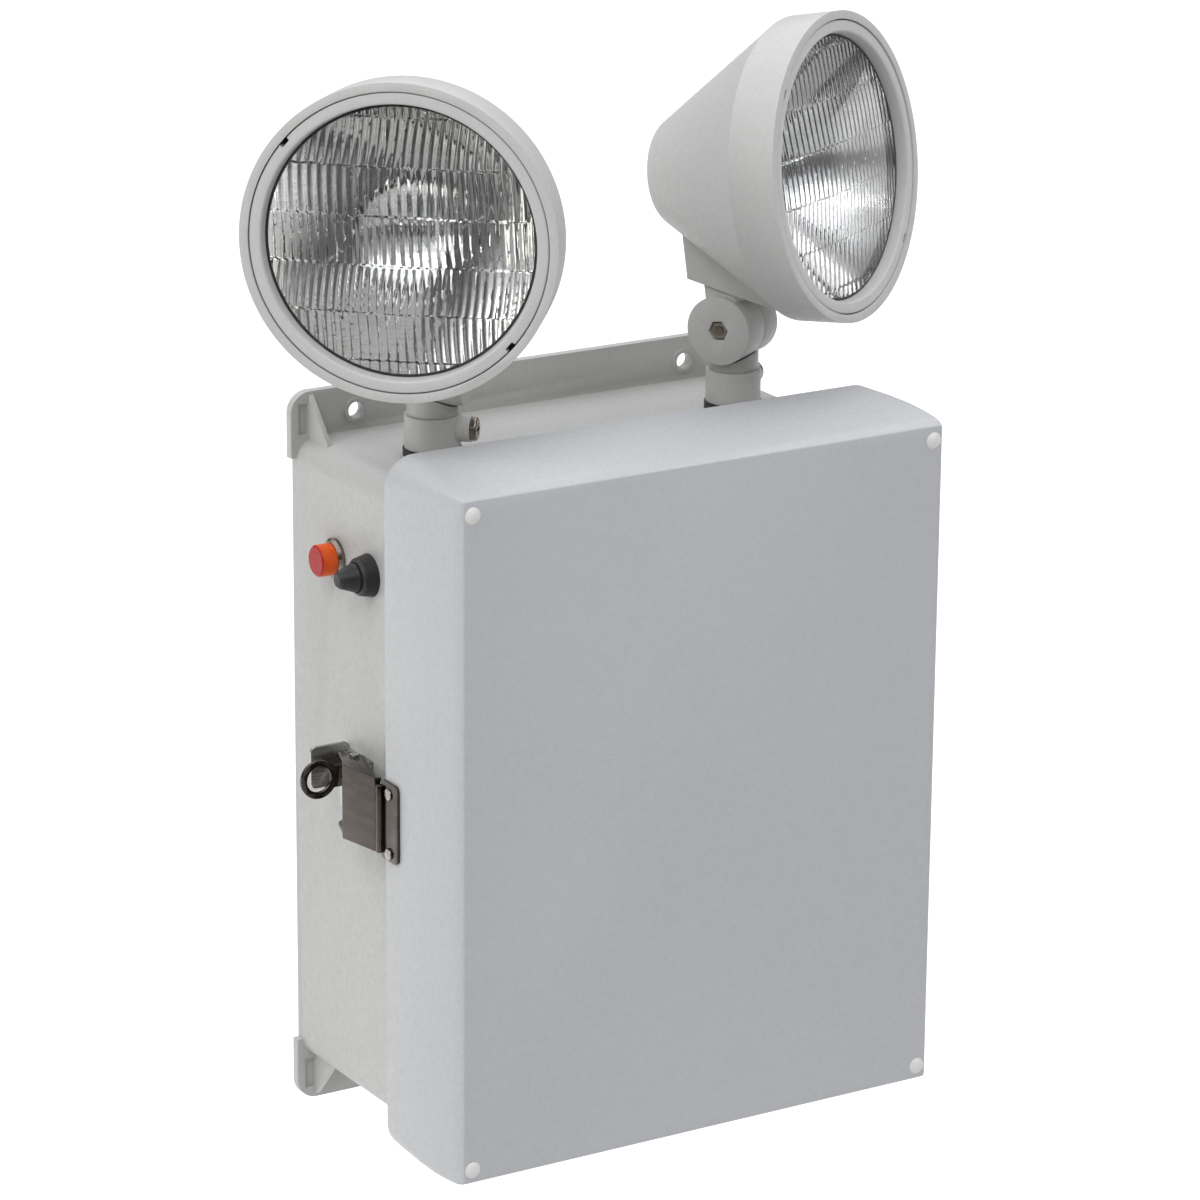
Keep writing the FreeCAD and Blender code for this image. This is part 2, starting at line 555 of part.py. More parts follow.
def make_latch_keeper():
    keeper = new_body("latch_keeper")
    plate = sketch_on(keeper, "YZ_Plane", "-cover_half_x - latch_sheet")
    add_rounded(plate, "-109.2", "-95.0", "latch_low - 1", "latch_high + 1", "2.6")
    pad(keeper, plate, "latch_sheet")
    roll = sketch_on(keeper, "XY_Plane", "latch_low + 1.5")
    add_circle(roll, "-cover_half_x - latch_sheet - 0.9", "-96.2", "1.6")
    pad(keeper, roll, "latch_high - latch_low - 3")


# ---------------------------------------------------------------- pilot lamp and test switch

def make_pilot_lamp():
    """Turned parts on an axis along X; the sketch's H axis is that axis."""
    at = FreeCAD.Placement(FreeCAD.Vector(-size("box_half_x"), -size("pilot_y"), size("pilot_z")),
                           FreeCAD.Rotation())
    bezel = new_body("pilot_bezel")
    ring = sketch_on(bezel, "XY_Plane")
    add_outline(ring, [("0", "pilot_r - 1.4"), ("0", "bezel_r"), ("-1.4", "bezel_r"),
                       ("-2.6", "pilot_r + 0.5"), ("-2.6", "pilot_r + 0.06"), ("-1.4", "pilot_r + 0.06"),
                       ("-1.4", "pilot_r - 1.4")])
    turn(bezel, ring)
    bezel.Placement = at
    lens = new_body("pilot_lens")
    cap = sketch_on(lens, "XY_Plane")
    add_outline(cap, [
        ("-1.45", "pilot_r"), ("-pilot_out + 0.8", "pilot_r"), ("-pilot_out", "pilot_r - 0.8"),
        ("-pilot_out", "0"), ("-pilot_out + 1.6", "0"), ("-pilot_out + 1.6", "pilot_r - 2.2"),
        ("-1.45", "pilot_r - 2.2")])
    turn(lens, cap)
    lens.Placement = at
    holder = new_body("pilot_holder")
    sleeve = sketch_on(holder, "XY_Plane")
    add_outline(sleeve, [("-5.6", "0"), ("-5.6", "2.5"), ("-2", "2.5"), ("-1.4", "pilot_r - 2.3"),
                         ("0", "pilot_r - 2.3"), ("0", "bush_r"), ("box_wall + 16", "bush_r"),
                         ("box_wall + 16", "0")])
    turn(holder, sleeve)
    holder.Placement = at

def make_test_switch():
    at = FreeCAD.Placement(FreeCAD.Vector(-size("box_half_x"), -size("button_y"), size("button_z")),
                           FreeCAD.Rotation())
    skirt = new_body("test_button_skirt")
    ring = sketch_on(skirt, "XY_Plane")
    add_outline(ring, [("0", "bush_r - 1.5"), ("0", "button_r"), ("-5.4", "button_r - 1.2"),
                       ("-6.6", "button_r - 2.2"), ("-6.6", "button_r - 2.6"),
                       ("-1.8", "button_r - 2.6"), ("-1.8", "bush_r - 1.5")])
    turn(skirt, ring)
    skirt.Placement = at
    boot = new_body("test_button_boot")
    cone = sketch_on(boot, "XY_Plane")
    add_outline(cone, [("-5.2", "0"), ("-5.2", "button_r - 2.9"), ("-7.4", "button_r - 2.9"),
                       ("-button_out + 1", "3.6"), ("-button_out", "2.6"), ("-button_out", "0")])
    turn(boot, cone)
    boot.Placement = at
    stem = new_body("test_button_stem")
    rod = sketch_on(stem, "YZ_Plane", "-5.2")
    add_circle(rod, "0", "0", "2")
    pad(stem, rod, "5.2 + box_wall")
    stem.Placement = at
    switch = new_body("test_switch_body")
    barrel = sketch_on(switch, "XY_Plane")
    add_outline(barrel, [("-1.7", "2.1"), ("-1.7", "bush_r - 1.6"), ("0", "bush_r - 1.6"),
                         ("0", "bush_r"), ("box_wall + 8", "bush_r"),
                         ("box_wall + 8", "bush_r + 1.5"), ("box_wall + 20", "bush_r + 1.5"),
                         ("box_wall + 20", "0"), ("box_wall + 3.2", "0"), ("box_wall + 3.2", "2.1")])
    turn(switch, barrel)
    switch.Placement = at


def make_side_nuts():
    """The two equal nuts that hold the pilot lamp and the switch from inside."""
    nuts = new_body("side_nuts")
    flat = sketch_on(nuts, "YZ_Plane", "box_wall - box_half_x")
    for y, z in (("-pilot_y", "pilot_z"), ("-button_y", "button_z")):
        add_hexagon(flat, y, z, "17")
        add_circle(flat, y, z, "bush_r + 0.05")
    pad(nuts, flat, "2.4")


# ---------------------------------------------------------------- stems and lamp heads

def stem_place(side, turned=True):
    """Place of a stem's local frame; its Z axis is the pan axis."""
    pan = size("pan_" + side) if turned else 0.0
    spot = FreeCAD.Vector(SIDES[side] * size("stem_x"), -size("stem_y"), 0)
    return FreeCAD.Placement(spot, FreeCAD.Rotation(FreeCAD.Vector(0, 0, 1), pan))


def head_place(side):
    """Place of a head's local frame: X along the tilt axis, -Y out of the lamp."""
    tilt = FreeCAD.Rotation(FreeCAD.Vector(1, 0, 0), -size("tilt_" + side))
    lift = FreeCAD.Placement(FreeCAD.Vector(0, 0, size("knuckle_z")), tilt)
    return stem_place(side).multiply(lift)


def make_stem(side):
    collar = new_body(side + "_collar")
    drum = sketch_on(collar, "XY_Plane", "pad_top + 0.2")
    add_circle(drum, "0", "0", "collar_r")
    pad(collar, drum, "collar_top - pad_top - 0.2")
    side_rod(collar, "0", "boss_reach", "0", "boss_z", "boss_r")
    bore = sketch_on(collar, "XY_Plane", "pad_top")
    add_circle(bore, "0", "0", "nipple_r + 0.05")
    pocket(collar, bore, "collar_top - pad_top - 2.6", reverse=True)
    wire_way = sketch_on(collar, "XY_Plane", "pad_top")
    add_circle(wire_way, "0", "0", "nipple_bore")
    pocket(collar, wire_way, "collar_top - pad_top + 1", reverse=True)
    tapped = sketch_on(collar, "YZ_Plane", "0")
    add_circle(tapped, "0", "boss_z", "clamp_screw_r + 0.05")
    pocket(collar, tapped, "boss_reach + 1", reverse=True)
    collar.Placement = stem_place(side)
    screw = DOC.addObject("Part::Feature", side + "_collar_screw")
    screw.Label = side + "_collar_screw"
    seat = FreeCAD.Vector(size("boss_reach"), 0, size("boss_z"))
    screw.Shape = pan_head_screw(seat, (1, 0, 0), size("clamp_head_r"), size("clamp_head"),
                                 size("clamp_screw_r"),
                                 size("boss_reach - nipple_r - 0.3"))
    screw.Placement = stem_place(side)
    PARTS.append(screw)
    make_neck(side)


def make_neck(side):
    """Lower half of the knuckle; the head's half turns beside it on the tilt bolt."""
    hand = SIDES[side]
    neck = new_body(side + "_neck")
    post = sketch_on(neck, "XY_Plane", "collar_top + 0.15")
    add_circle(post, "0", "0", "neck_r")
    pad(neck, post, "knuckle_z - collar_top - 0.15 - 4")
    cheek_start = "0.25" if hand > 0 else "-neck_side"
    cheek = sketch_on(neck, "YZ_Plane", cheek_start)
    add_circle(cheek, "0", "knuckle_z", "knuckle_r - 0.2")
    pad(neck, cheek, "neck_side - 0.25")
    relief = sketch_on(neck, "YZ_Plane", "0.25" if hand > 0 else "-0.25")
    add_circle(relief, "0", "knuckle_z", "knuckle_r + 0.7")
    pocket(neck, relief, "20", reverse=hand < 0)
    wire_way = sketch_on(neck, "XY_Plane", "collar_top - 1")
    add_circle(wire_way, "0", "0", "4")
    pocket(neck, wire_way, "3.2", reverse=True)
    bore = sketch_on(neck, "YZ_Plane", "-20")
    add_circle(bore, "0", "knuckle_z", "bolt_r + 0.06")
    pocket(neck, bore, "40", reverse=True)
    neck.Placement = stem_place(side)


def axis_sketch(body):
    """Sketch in the head's middle plane whose H axis is the lamp axis."""
    return sketch_on(body, "YZ_Plane", "0", ("0", "head_rise"))


def make_head_shell(side):
    hand = SIDES[side]
    shell = new_body(side + "_head_shell")
    band_y = "-head_front + band_len"
    rear_y = "head_depth - head_front"
    outside = axis_sketch(shell)
    add_outline(outside, [("-head_front", "0"), ("-head_front", "rim_r"), (band_y, "band_r"),
                          (band_y + " + 3.6", "band_r - 2.6"), (rear_y + " - 1.2", "rear_r"),
                          (rear_y, "rear_r - 1.2"), (rear_y, "0")])
    turn(shell, outside)
    low_x, width = ("-head_side", "head_side + neck_side")
    foot = sketch_on(shell, "YZ_Plane", low_x if hand > 0 else "-neck_side")
    add_outline(foot, [("11.8", "head_rise - 12"), ("11.8", "22.4"), ("-38", "5.2"),
                       ("-46", "14"), ("-30", "head_rise - 12")])
    pad(shell, foot, width)
    cheek = sketch_on(shell, "YZ_Plane", low_x if hand > 0 else "0.25")
    add_circle(cheek, "0", "0", "knuckle_r + 0.1")
    pad(shell, cheek, "head_side - 0.25")
    web = sketch_on(shell, "YZ_Plane", low_x + " + 1.6" if hand > 0 else "0.25")
    add_box(web, "-9", "5", "2", "24")
    pad(shell, web, "head_side - 1.85")
    inside = axis_sketch(shell)
    add_outline(inside, [("-head_front - 1", "0"), ("-head_front - 1", "seat_r"),
                         ("-head_front + seat_depth", "seat_r"),
                         ("-head_front + seat_depth", "seat_r - 4"),
                         (band_y + " + 4.6", "band_r - shell_wall - 4"),
                         (rear_y + " - shell_wall", "rear_r - shell_wall"),
                         (rear_y + " - shell_wall", "0")])
    turn(shell, inside, cut=True)
    recess_x = "-head_side" if hand > 0 else "head_side"
    recess = sketch_on(shell, "YZ_Plane", recess_x)
    add_hexagon(recess, "0", "0", "8")
    pocket(shell, recess, "3.4", reverse=hand > 0)
    bore = sketch_on(shell, "YZ_Plane", "-20")
    add_circle(bore, "0", "0", "bolt_r + 0.02")
    pocket(shell, bore, "40", reverse=True)
    shell.Placement = head_place(side)


def cut_notches(body):
    """Two small tool slots in the ring's outer edge."""
    for angle in (140.0, -41.0):
        notch = sketch_on(body, "XZ_Plane", "head_front + 1", ("0", "head_rise"), turn=angle)
        add_box(notch, "ring_r - notch_in", "ring_r + 1", "-notch_half", "notch_half")
        pocket(body, notch, "ring_depth + 2")


def make_lamp(side):
    """Sealed-beam lamp: fluted front lens, bowl, bulb with its shield and two terminals."""
    lens_y = "-head_front + ring_depth"
    lens = new_body(side + "_lamp_lens")
    glass = axis_sketch(lens)
    add_outline(glass, [(lens_y + " - lens_crown", "0"), (lens_y, "dome_r"),
                        (lens_y + " + 0.2", "lamp_r"), (lens_y + " + 3", "lamp_r"),
                        (lens_y + " + 3", "dome_r - 0.4"),
                        (lens_y + " - lens_crown + lens_thick", "0")], domes=(0, 4))
    turn(lens, glass)
    bowl = new_body(side + "_lamp_bowl")
    rim_y = lens_y + " + 3.05"
    cup = axis_sketch(bowl)
    add_outline(cup, [(rim_y, "dome_r - 0.9"), (rim_y, "lamp_r"), (rim_y + " + 2.6", "lamp_r"),
                      (rim_y + " + 2.6", "dome_r + 0.6"), ("-2.5", "13"), ("-2.5", "0"),
                      ("-5", "0"), ("-5", "11")], domes=(3, 7))
    turn(bowl, cup)
    bulb = new_body(side + "_lamp_bulb")
    stem = axis_sketch(bulb)
    add_outline(stem, [("-28", "0"), ("-28", "4"), ("-24", "5.4"), ("-14", "5.4"), ("-5.02", "4"),
                       ("-5.02", "0")])
    turn(bulb, stem)
    terminals = DOC.addObject("Part::Feature", side + "_lamp_terminals")
    terminals.Label = side + "_lamp_terminals"
    lugs = []
    for x in (-6.5, 4.5):
        blade = Part.makeBox(2, 14, 6, FreeCAD.Vector(x, -2.45, size("head_rise") - 3))
        lugs.append(blade)
    terminals.Shape = Part.makeCompound(lugs)
    PARTS.append(terminals)
    seal = new_body(side + "_lamp_seal")
    band = axis_sketch(seal)
    add_outline(band, [(lens_y + " - 0.02", "dome_r + 0.3"), (lens_y + " - 0.02", "seat_r - 0.7"),
                       (lens_y + " + 5.7", "seat_r - 0.7"), (lens_y + " + 5.7", "lamp_r + 0.05"),
                       (lens_y + " + 0.15", "lamp_r + 0.05"), (lens_y + " + 0.1", "dome_r + 0.3")])
    turn(seal, band)
    ring = new_body(side + "_retaining_ring")
    hoop = axis_sketch(ring)
    add_outline(hoop, [("-head_front + 0.3", "ring_open_front + 0.6"), ("-head_front + 0.3", "ring_r - 0.4"),
                       ("-head_front + 0.9", "ring_r"), (lens_y + " - 0.04", "ring_r"),
                       (lens_y + " - 0.04", "ring_open_rear + 0.3"), ("-head_front + 0.9", "ring_open_front")])
    turn(ring, hoop)
    cut_notches(ring)
    for piece in (lens, bowl, bulb, terminals, seal, ring):
        piece.Placement = head_place(side)


def make_tilt_bolt(side):
    hand = SIDES[side]
    bolt = DOC.addObject("Part::Feature", side + "_tilt_bolt")
    bolt.Label = side + "_tilt_bolt"
    seat = FreeCAD.Vector(hand * size("neck_side"), 0, 0)
    bolt.Shape = pan_head_screw(seat + FreeCAD.Vector(hand * 0.05, 0, 0), (hand, 0, 0), 4.0, 2.6,
                                size("bolt_r"), size("neck_side + head_side - 0.4"))
    bolt.Placement = head_place(side)
    PARTS.append(bolt)
    nut = new_body(side + "_tilt_nut")
    start = "-head_side + 1.0" if hand > 0 else "head_side - 3.35"
    hexagon = sketch_on(nut, "YZ_Plane", start)
    add_hexagon(hexagon, "0", "0", "6.6")
    add_circle(hexagon, "0", "0", "bolt_r + 0.01")
    pad(nut, hexagon, "2.35")
    nut.Placement = head_place(side)


def make_stem_fittings():
    """Threaded nipples, rubber washers and locknuts: one node for each equal pair."""
    pair_of_tubes("stem_nipples", "nipple_r", "nipple_bore", "box_half_z - 16", "collar_top - 3")
    pair_of_tubes("stem_gaskets", "pad_r", "nipple_r + 0.05", "box_half_z + seat_pad", "pad_top")
    shapes = []
    for side in SIDES:
        place = stem_place(side, turned=False)
        top = size("box_half_z - box_wall")
        corners = [FreeCAD.Vector(14 * math.cos(math.radians(60 * k)), 14 * math.sin(math.radians(60 * k)),
                                  top - 5) for k in range(7)]
        nut = Part.Face(Part.makePolygon(corners)).extrude(FreeCAD.Vector(0, 0, 5))
        hole = Part.makeCylinder(size("nipple_r + 0.05"), 7, FreeCAD.Vector(0, 0, top - 6))
        nut = nut.cut(hole)
        nut.Placement = place
        shapes.append(nut)
    solids_in_one("stem_locknuts", shapes)


def pair_of_tubes(label, outer, inner, low, high):
    body = new_body(label)
    rings = sketch_on(body, "XY_Plane", low)
    for hand in SIDES.values():
        add_circle(rings, f"{hand} * stem_x", "-stem_y", outer)
        add_circle(rings, f"{hand} * stem_x", "-stem_y", inner)
    pad(body, rings, f"({high}) - ({low})")


# ---------------------------------------------------------------- parts inside the box

def make_insides():
    panel = new_body("mounting_panel")
    sheet = sketch_on(panel, "XZ_Plane", "panel_y")
    add_rounded(sheet, "-panel_half_x", "panel_half_x", "panel_low", "panel_high", "6")
    for x_side in SIDES.values():
        for z_edge in ("panel_low + 10", "panel_high - 10"):
            add_circle(sheet, f"{x_side} * (panel_half_x - 7)", z_edge, "2.1")
    pad(panel, sheet, "1.5")
    front = "panel_y + 1.5"
    screws = []
    for x_side in SIDES.values():
        for z_edge in ("panel_low + 10", "panel_high - 10"):
            seat = FreeCAD.Vector(x_side * size("panel_half_x - 7"), -size(front), size(z_edge))
            screws.append(pan_head_screw(seat, (0, -1, 0), 3.6, 2.2, 1.65, 7.0))
    solids_in_one("panel_screws", screws)
    battery = block("battery", "-battery_x / 2", "battery_x / 2", f"-({front}) - battery_gap - battery_y",
                    f"-({front}) - battery_gap", "panel_low + 2", "panel_low + 2 + battery_z")
    tall = size("battery_z")
    round_edges(battery, "2", lambda edge: abs(edge.Length - tall) < 0.01)
    top = "panel_low + 2 + battery_z"
    lugs = []
    for x in (-60, -40):
        spot = FreeCAD.Vector(x, -size(front) - 12, size(top))
        lugs.append(Part.makeBox(0.8, 6.3, 8, spot))
    solids_in_one("battery_terminals", lugs)
    strap = new_body("battery_strap")
    band = sketch_on(strap, "XY_Plane", "panel_low + 40")
    reach = f"({front}) + battery_gap + battery_y"
    add_outline(band, [("-battery_x / 2 - 9", f"-({front})"), ("-battery_x / 2 - 9", f"-({front}) - 1.2"),
                       ("-battery_x / 2 - 1.4", f"-({front}) - 1.2"), ("-battery_x / 2 - 1.4", f"-({reach}) - 1.4"),
                       ("battery_x / 2 + 1.4", f"-({reach}) - 1.4"), ("battery_x / 2 + 1.4", f"-({front}) - 1.2"),
                       ("battery_x / 2 + 9", f"-({front}) - 1.2"), ("battery_x / 2 + 9", f"-({front})"),
                       ("battery_x / 2 + 0.2", f"-({front})"), ("battery_x / 2 + 0.2", f"-({reach}) - 0.2"),
                       ("-battery_x / 2 - 0.2", f"-({reach}) - 0.2"), ("-battery_x / 2 - 0.2", f"-({front})")])
    pad(strap, band, "18")
    board = block("charger_board", "-72", "18", f"-({front}) - 9.6", f"-({front}) - 8", "-20", "54")
    board.Label = "charger_board"
    posts = []
    for x in (-67, 13):
        for z in (-15, 49):
            spot = FreeCAD.Vector(x, -size(front), z)
            posts.append(Part.makeCylinder(2.6, 7.98, spot, FreeCAD.Vector(0, -1, 0)))
    solids_in_one("board_standoffs", posts)
    core = new_body("transformer_core")
    feet = sketch_on(core, "XZ_Plane", front)
    add_box(feet, "28", "35", "-10", "32")
    add_box(feet, "69", "76", "-10", "32")
    pad(core, feet, "9")
    stack = sketch_on(core, "XZ_Plane", f"{front} + 8")
    add_box(stack, "28", "76", "-10", "32")
    add_box(stack, "36", "46", "0", "22")
    add_box(stack, "58", "68", "0", "22")
    pad(core, stack, "24")
    coil = new_body("transformer_coil")
    winding = sketch_on(coil, "XY_Plane", "0.4")
    add_rounded(winding, "36.4", "67.6", f"-({front}) - 39.4", f"-({front}) - 0.6", "3")
    add_box(winding, "45.8", "58.2", f"-({front}) - 32.2", f"-({front}) - 7.8")
    pad(coil, winding, "21.2")
    block("terminal_strip", "28", "72", f"-({front}) - 14", f"-({front})", "38", "50")


def make_leads():
    """Battery-and-lamp leads inside the box: straight runs joined by tangent arcs."""
    shapes = []
    for side, hand in SIDES.items():
        x = hand * size("stem_x")
        y = -size("stem_y")
        top = FreeCAD.Vector(x, y, size("box_half_z") - 12)
        low = FreeCAD.Vector(x, y, 76)
        inner = FreeCAD.Vector(x - hand * 26, y + 24, 64)
        shapes.append(bent_tube([top, low, inner], 1.6))
    solids_in_one("lamp_leads", shapes)


def bent_tube(points, radius):
    """Round tube along a route with one arc at each inner point."""
    start, corner, end = points
    one = (start - corner).normalize()
    two = (end - corner).normalize()
    turn_angle = math.pi - one.getAngle(two)
    reach = 0.45 * min((start - corner).Length, (end - corner).Length)
    bend = reach / math.tan(turn_angle / 2)
    first, last = corner + one * reach, corner + two * reach
    inward = (one + two).normalize()
    centre = corner + inward * math.hypot(bend, reach)
    middle = centre - inward * bend
    wire = Part.Wire([Part.LineSegment(start, first).toShape(), Part.Arc(first, middle, last).toShape(),
                      Part.LineSegment(last, end).toShape()])
    disc = Part.Wire([Part.Circle(start, one, radius).toShape()])
    return wire.makePipeShell([disc], True, True)


# ---------------------------------------------------------------- build, check and write

def build():
    make_back_box()
    make_front_cover()
    make_cover_gasket()
    make_corner_plugs()
    make_hinge()
    make_latch()
    make_rivets()
    make_pilot_lamp()
    make_test_switch()
    make_side_nuts()
    for side in SIDES:
        make_stem(side)
        make_head_shell(side)
        make_lamp(side)
        make_tilt_bolt(side)
    make_stem_fittings()
    make_insides()
    make_leads()
    DOC.recompute()


def check():
    for item in DOC.Objects:
        if "Invalid" in item.State or "Error" in item.State:
            raise RuntimeError(f"{item.Label}: {item.State}")
    for part in PARTS:
        shape = part.Shape
        if shape.isNull() or not shape.isValid() or not shape.Solids:
            raise RuntimeError(part.Label + ": bad shape")


def write():
    os.makedirs("parts", exist_ok=True)
    for part in PARTS:
        part.Shape.exportStep(f"parts/{part.Label}.step")
    print(len(PARTS), "parts written")


build()
check()
write()
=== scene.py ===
"""Looks of a sealed emergency lighting unit: a moulded wall box, a hinged cover,
a latch, a pilot lamp, a test button and two aimable lamp heads.

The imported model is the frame.  Each class below is one sub-assembly: its fields are
its sizes in millimetres, and its methods model the pieces and dress them.
"""

import json
import logging
import math
from dataclasses import dataclass
from enum import Enum
from typing import Callable, Iterable, Sequence

import bmesh
import bpy
from mathutils import Matrix, Vector

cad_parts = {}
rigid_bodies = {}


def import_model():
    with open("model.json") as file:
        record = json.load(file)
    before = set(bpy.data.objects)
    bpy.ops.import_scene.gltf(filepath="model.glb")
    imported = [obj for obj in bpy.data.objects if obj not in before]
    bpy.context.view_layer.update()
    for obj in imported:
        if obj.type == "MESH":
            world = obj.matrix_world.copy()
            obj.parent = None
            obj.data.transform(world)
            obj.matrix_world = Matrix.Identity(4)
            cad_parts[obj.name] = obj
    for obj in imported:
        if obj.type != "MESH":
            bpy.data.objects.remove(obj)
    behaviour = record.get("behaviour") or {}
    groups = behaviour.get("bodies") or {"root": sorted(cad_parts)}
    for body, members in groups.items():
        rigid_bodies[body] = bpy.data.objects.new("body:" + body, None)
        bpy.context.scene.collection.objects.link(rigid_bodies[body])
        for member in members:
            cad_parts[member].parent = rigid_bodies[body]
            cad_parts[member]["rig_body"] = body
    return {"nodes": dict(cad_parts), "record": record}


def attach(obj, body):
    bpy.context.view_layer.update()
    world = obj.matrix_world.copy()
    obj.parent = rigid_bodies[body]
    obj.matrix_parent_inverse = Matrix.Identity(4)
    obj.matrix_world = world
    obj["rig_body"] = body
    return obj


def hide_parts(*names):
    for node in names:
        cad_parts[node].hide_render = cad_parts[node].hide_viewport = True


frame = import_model()

MM = 0.001
WELD = 1e-4
COPY_WELD = 1e-3
log = logging.getLogger("emergency_light")

Colour = tuple[float, float, float]
Range = tuple[float, float]
Profile = Sequence[tuple[float, float]]


class Hand(Enum):
    """Which of the two lamp heads a sub-assembly belongs to."""

    LEFT = -1
    RIGHT = 1

    @property
    def word(self) -> str:
        """Lower-case name used in node and body names."""
        return self.name.lower()


# ------------------------------------------------------------------ shader node groups

class Graph:
    """A node tree being wired, with short calls for the nodes used here."""

    # A Mix node has a set of sockets for each kind of value: these are the colours'.
    MIX_INPUTS = (0, 6, 7)
    MIX_RESULT = 2

    def __init__(self, tree: bpy.types.NodeTree) -> None:
        """Keep the tree that nodes are added to."""
        self.tree = tree

    def node(self, kind: str, **values: object) -> bpy.types.Node:
        """Add a node and set its properties.

        Args:
            kind: Blender's node type name.
            values: properties of the node, by name.
        Returns:
            The new node.
        """
        made = self.tree.nodes.new(kind)
        for name, value in values.items():
            setattr(made, name, value)
        return made

    def link(self, source: bpy.types.NodeSocket, target: bpy.types.NodeSocket) -> None:
        """Join two sockets."""
        self.tree.links.new(source, target)

    def fill(self, socket: bpy.types.NodeSocket, value: object) -> None:
        """Set an input from another node's output or from a constant.

        Args:
            socket: the input.
            value: an output to link, or the constant.
        """
        if isinstance(value, bpy.types.NodeSocket):
            self.link(value, socket)
        else:
            socket.default_value = value

    def feed(self, node: bpy.types.Node, **values: object) -> None:
        """Set inputs by name, with an underscore for each space in a name.

        Args:
            node: the node whose inputs are set.
            values: an output or a constant for each input.
        """
        for name, value in values.items():
            self.fill(node.inputs[name.replace("_", " ")], value)

    def noise(self, vector: bpy.types.NodeSocket, scale: object, detail: float = 3.0,
              rough: float = 0.5) -> bpy.types.NodeSocket:
        """Add a noise texture.

        Args:
            vector: where the texture is read.
            scale: its scale, an output or a constant.
            detail: its number of octaves.
            rough: how strong each finer octave is.
        Returns:
            The output with its value.
        """
        made = self.node("ShaderNodeTexNoise")
        self.feed(made, Vector=vector, Scale=scale, Detail=detail, Roughness=rough)
        return made.outputs["Fac"]

    def remap(self, value: object, low: float, high: float, out_low: object,
              out_high: object) -> bpy.types.NodeSocket:
        """Map a value from one range to another, smoothly and clamped.

        Args:
            value: what is mapped.
            low: start of the range it comes from.
            high: end of that range.
            out_low: what the start becomes.
            out_high: what the end becomes.
        Returns:
            The output with the mapped value.
        """
        made = self.node("ShaderNodeMapRange", interpolation_type="SMOOTHSTEP")
        self.feed(made, Value=value, From_Min=low, From_Max=high, To_Min=out_low,
                  To_Max=out_high)
        return made.outputs["Result"]

    def blend(self, share: object, first: object, second: object) -> bpy.types.NodeSocket:
        """Mix two colours.

        Args:
            share: how much of the second colour shows.
            first: the first colour.
            second: the second colour.
        Returns:
            The output with the mixed colour.
        """
        made = self.node("ShaderNodeMix", data_type="RGBA")
        for index, value in zip(self.MIX_INPUTS, (share, first, second)):
            self.fill(made.inputs[index], value)
        return made.outputs[self.MIX_RESULT]

    def maths(self, kind: str, first: object, second: object) -> bpy.types.NodeSocket:
        """Add a Math node.

        Args:
            kind: the name of its operation.
            first: the first number.
            second: the second number.
        Returns:
            The output with the result.
        """
        made = self.node("ShaderNodeMath", operation=kind)
        for socket, value in zip(made.inputs, (first, second)):
            self.fill(socket, value)
        return made.outputs[0]

    def part(self, vector: bpy.types.NodeSocket, axis: str) -> bpy.types.NodeSocket:
        """Take one part, X, Y or Z, of a vector."""
        made = self.node("ShaderNodeSeparateXYZ")
        self.link(vector, made.inputs[0])
        return made.outputs[axis]


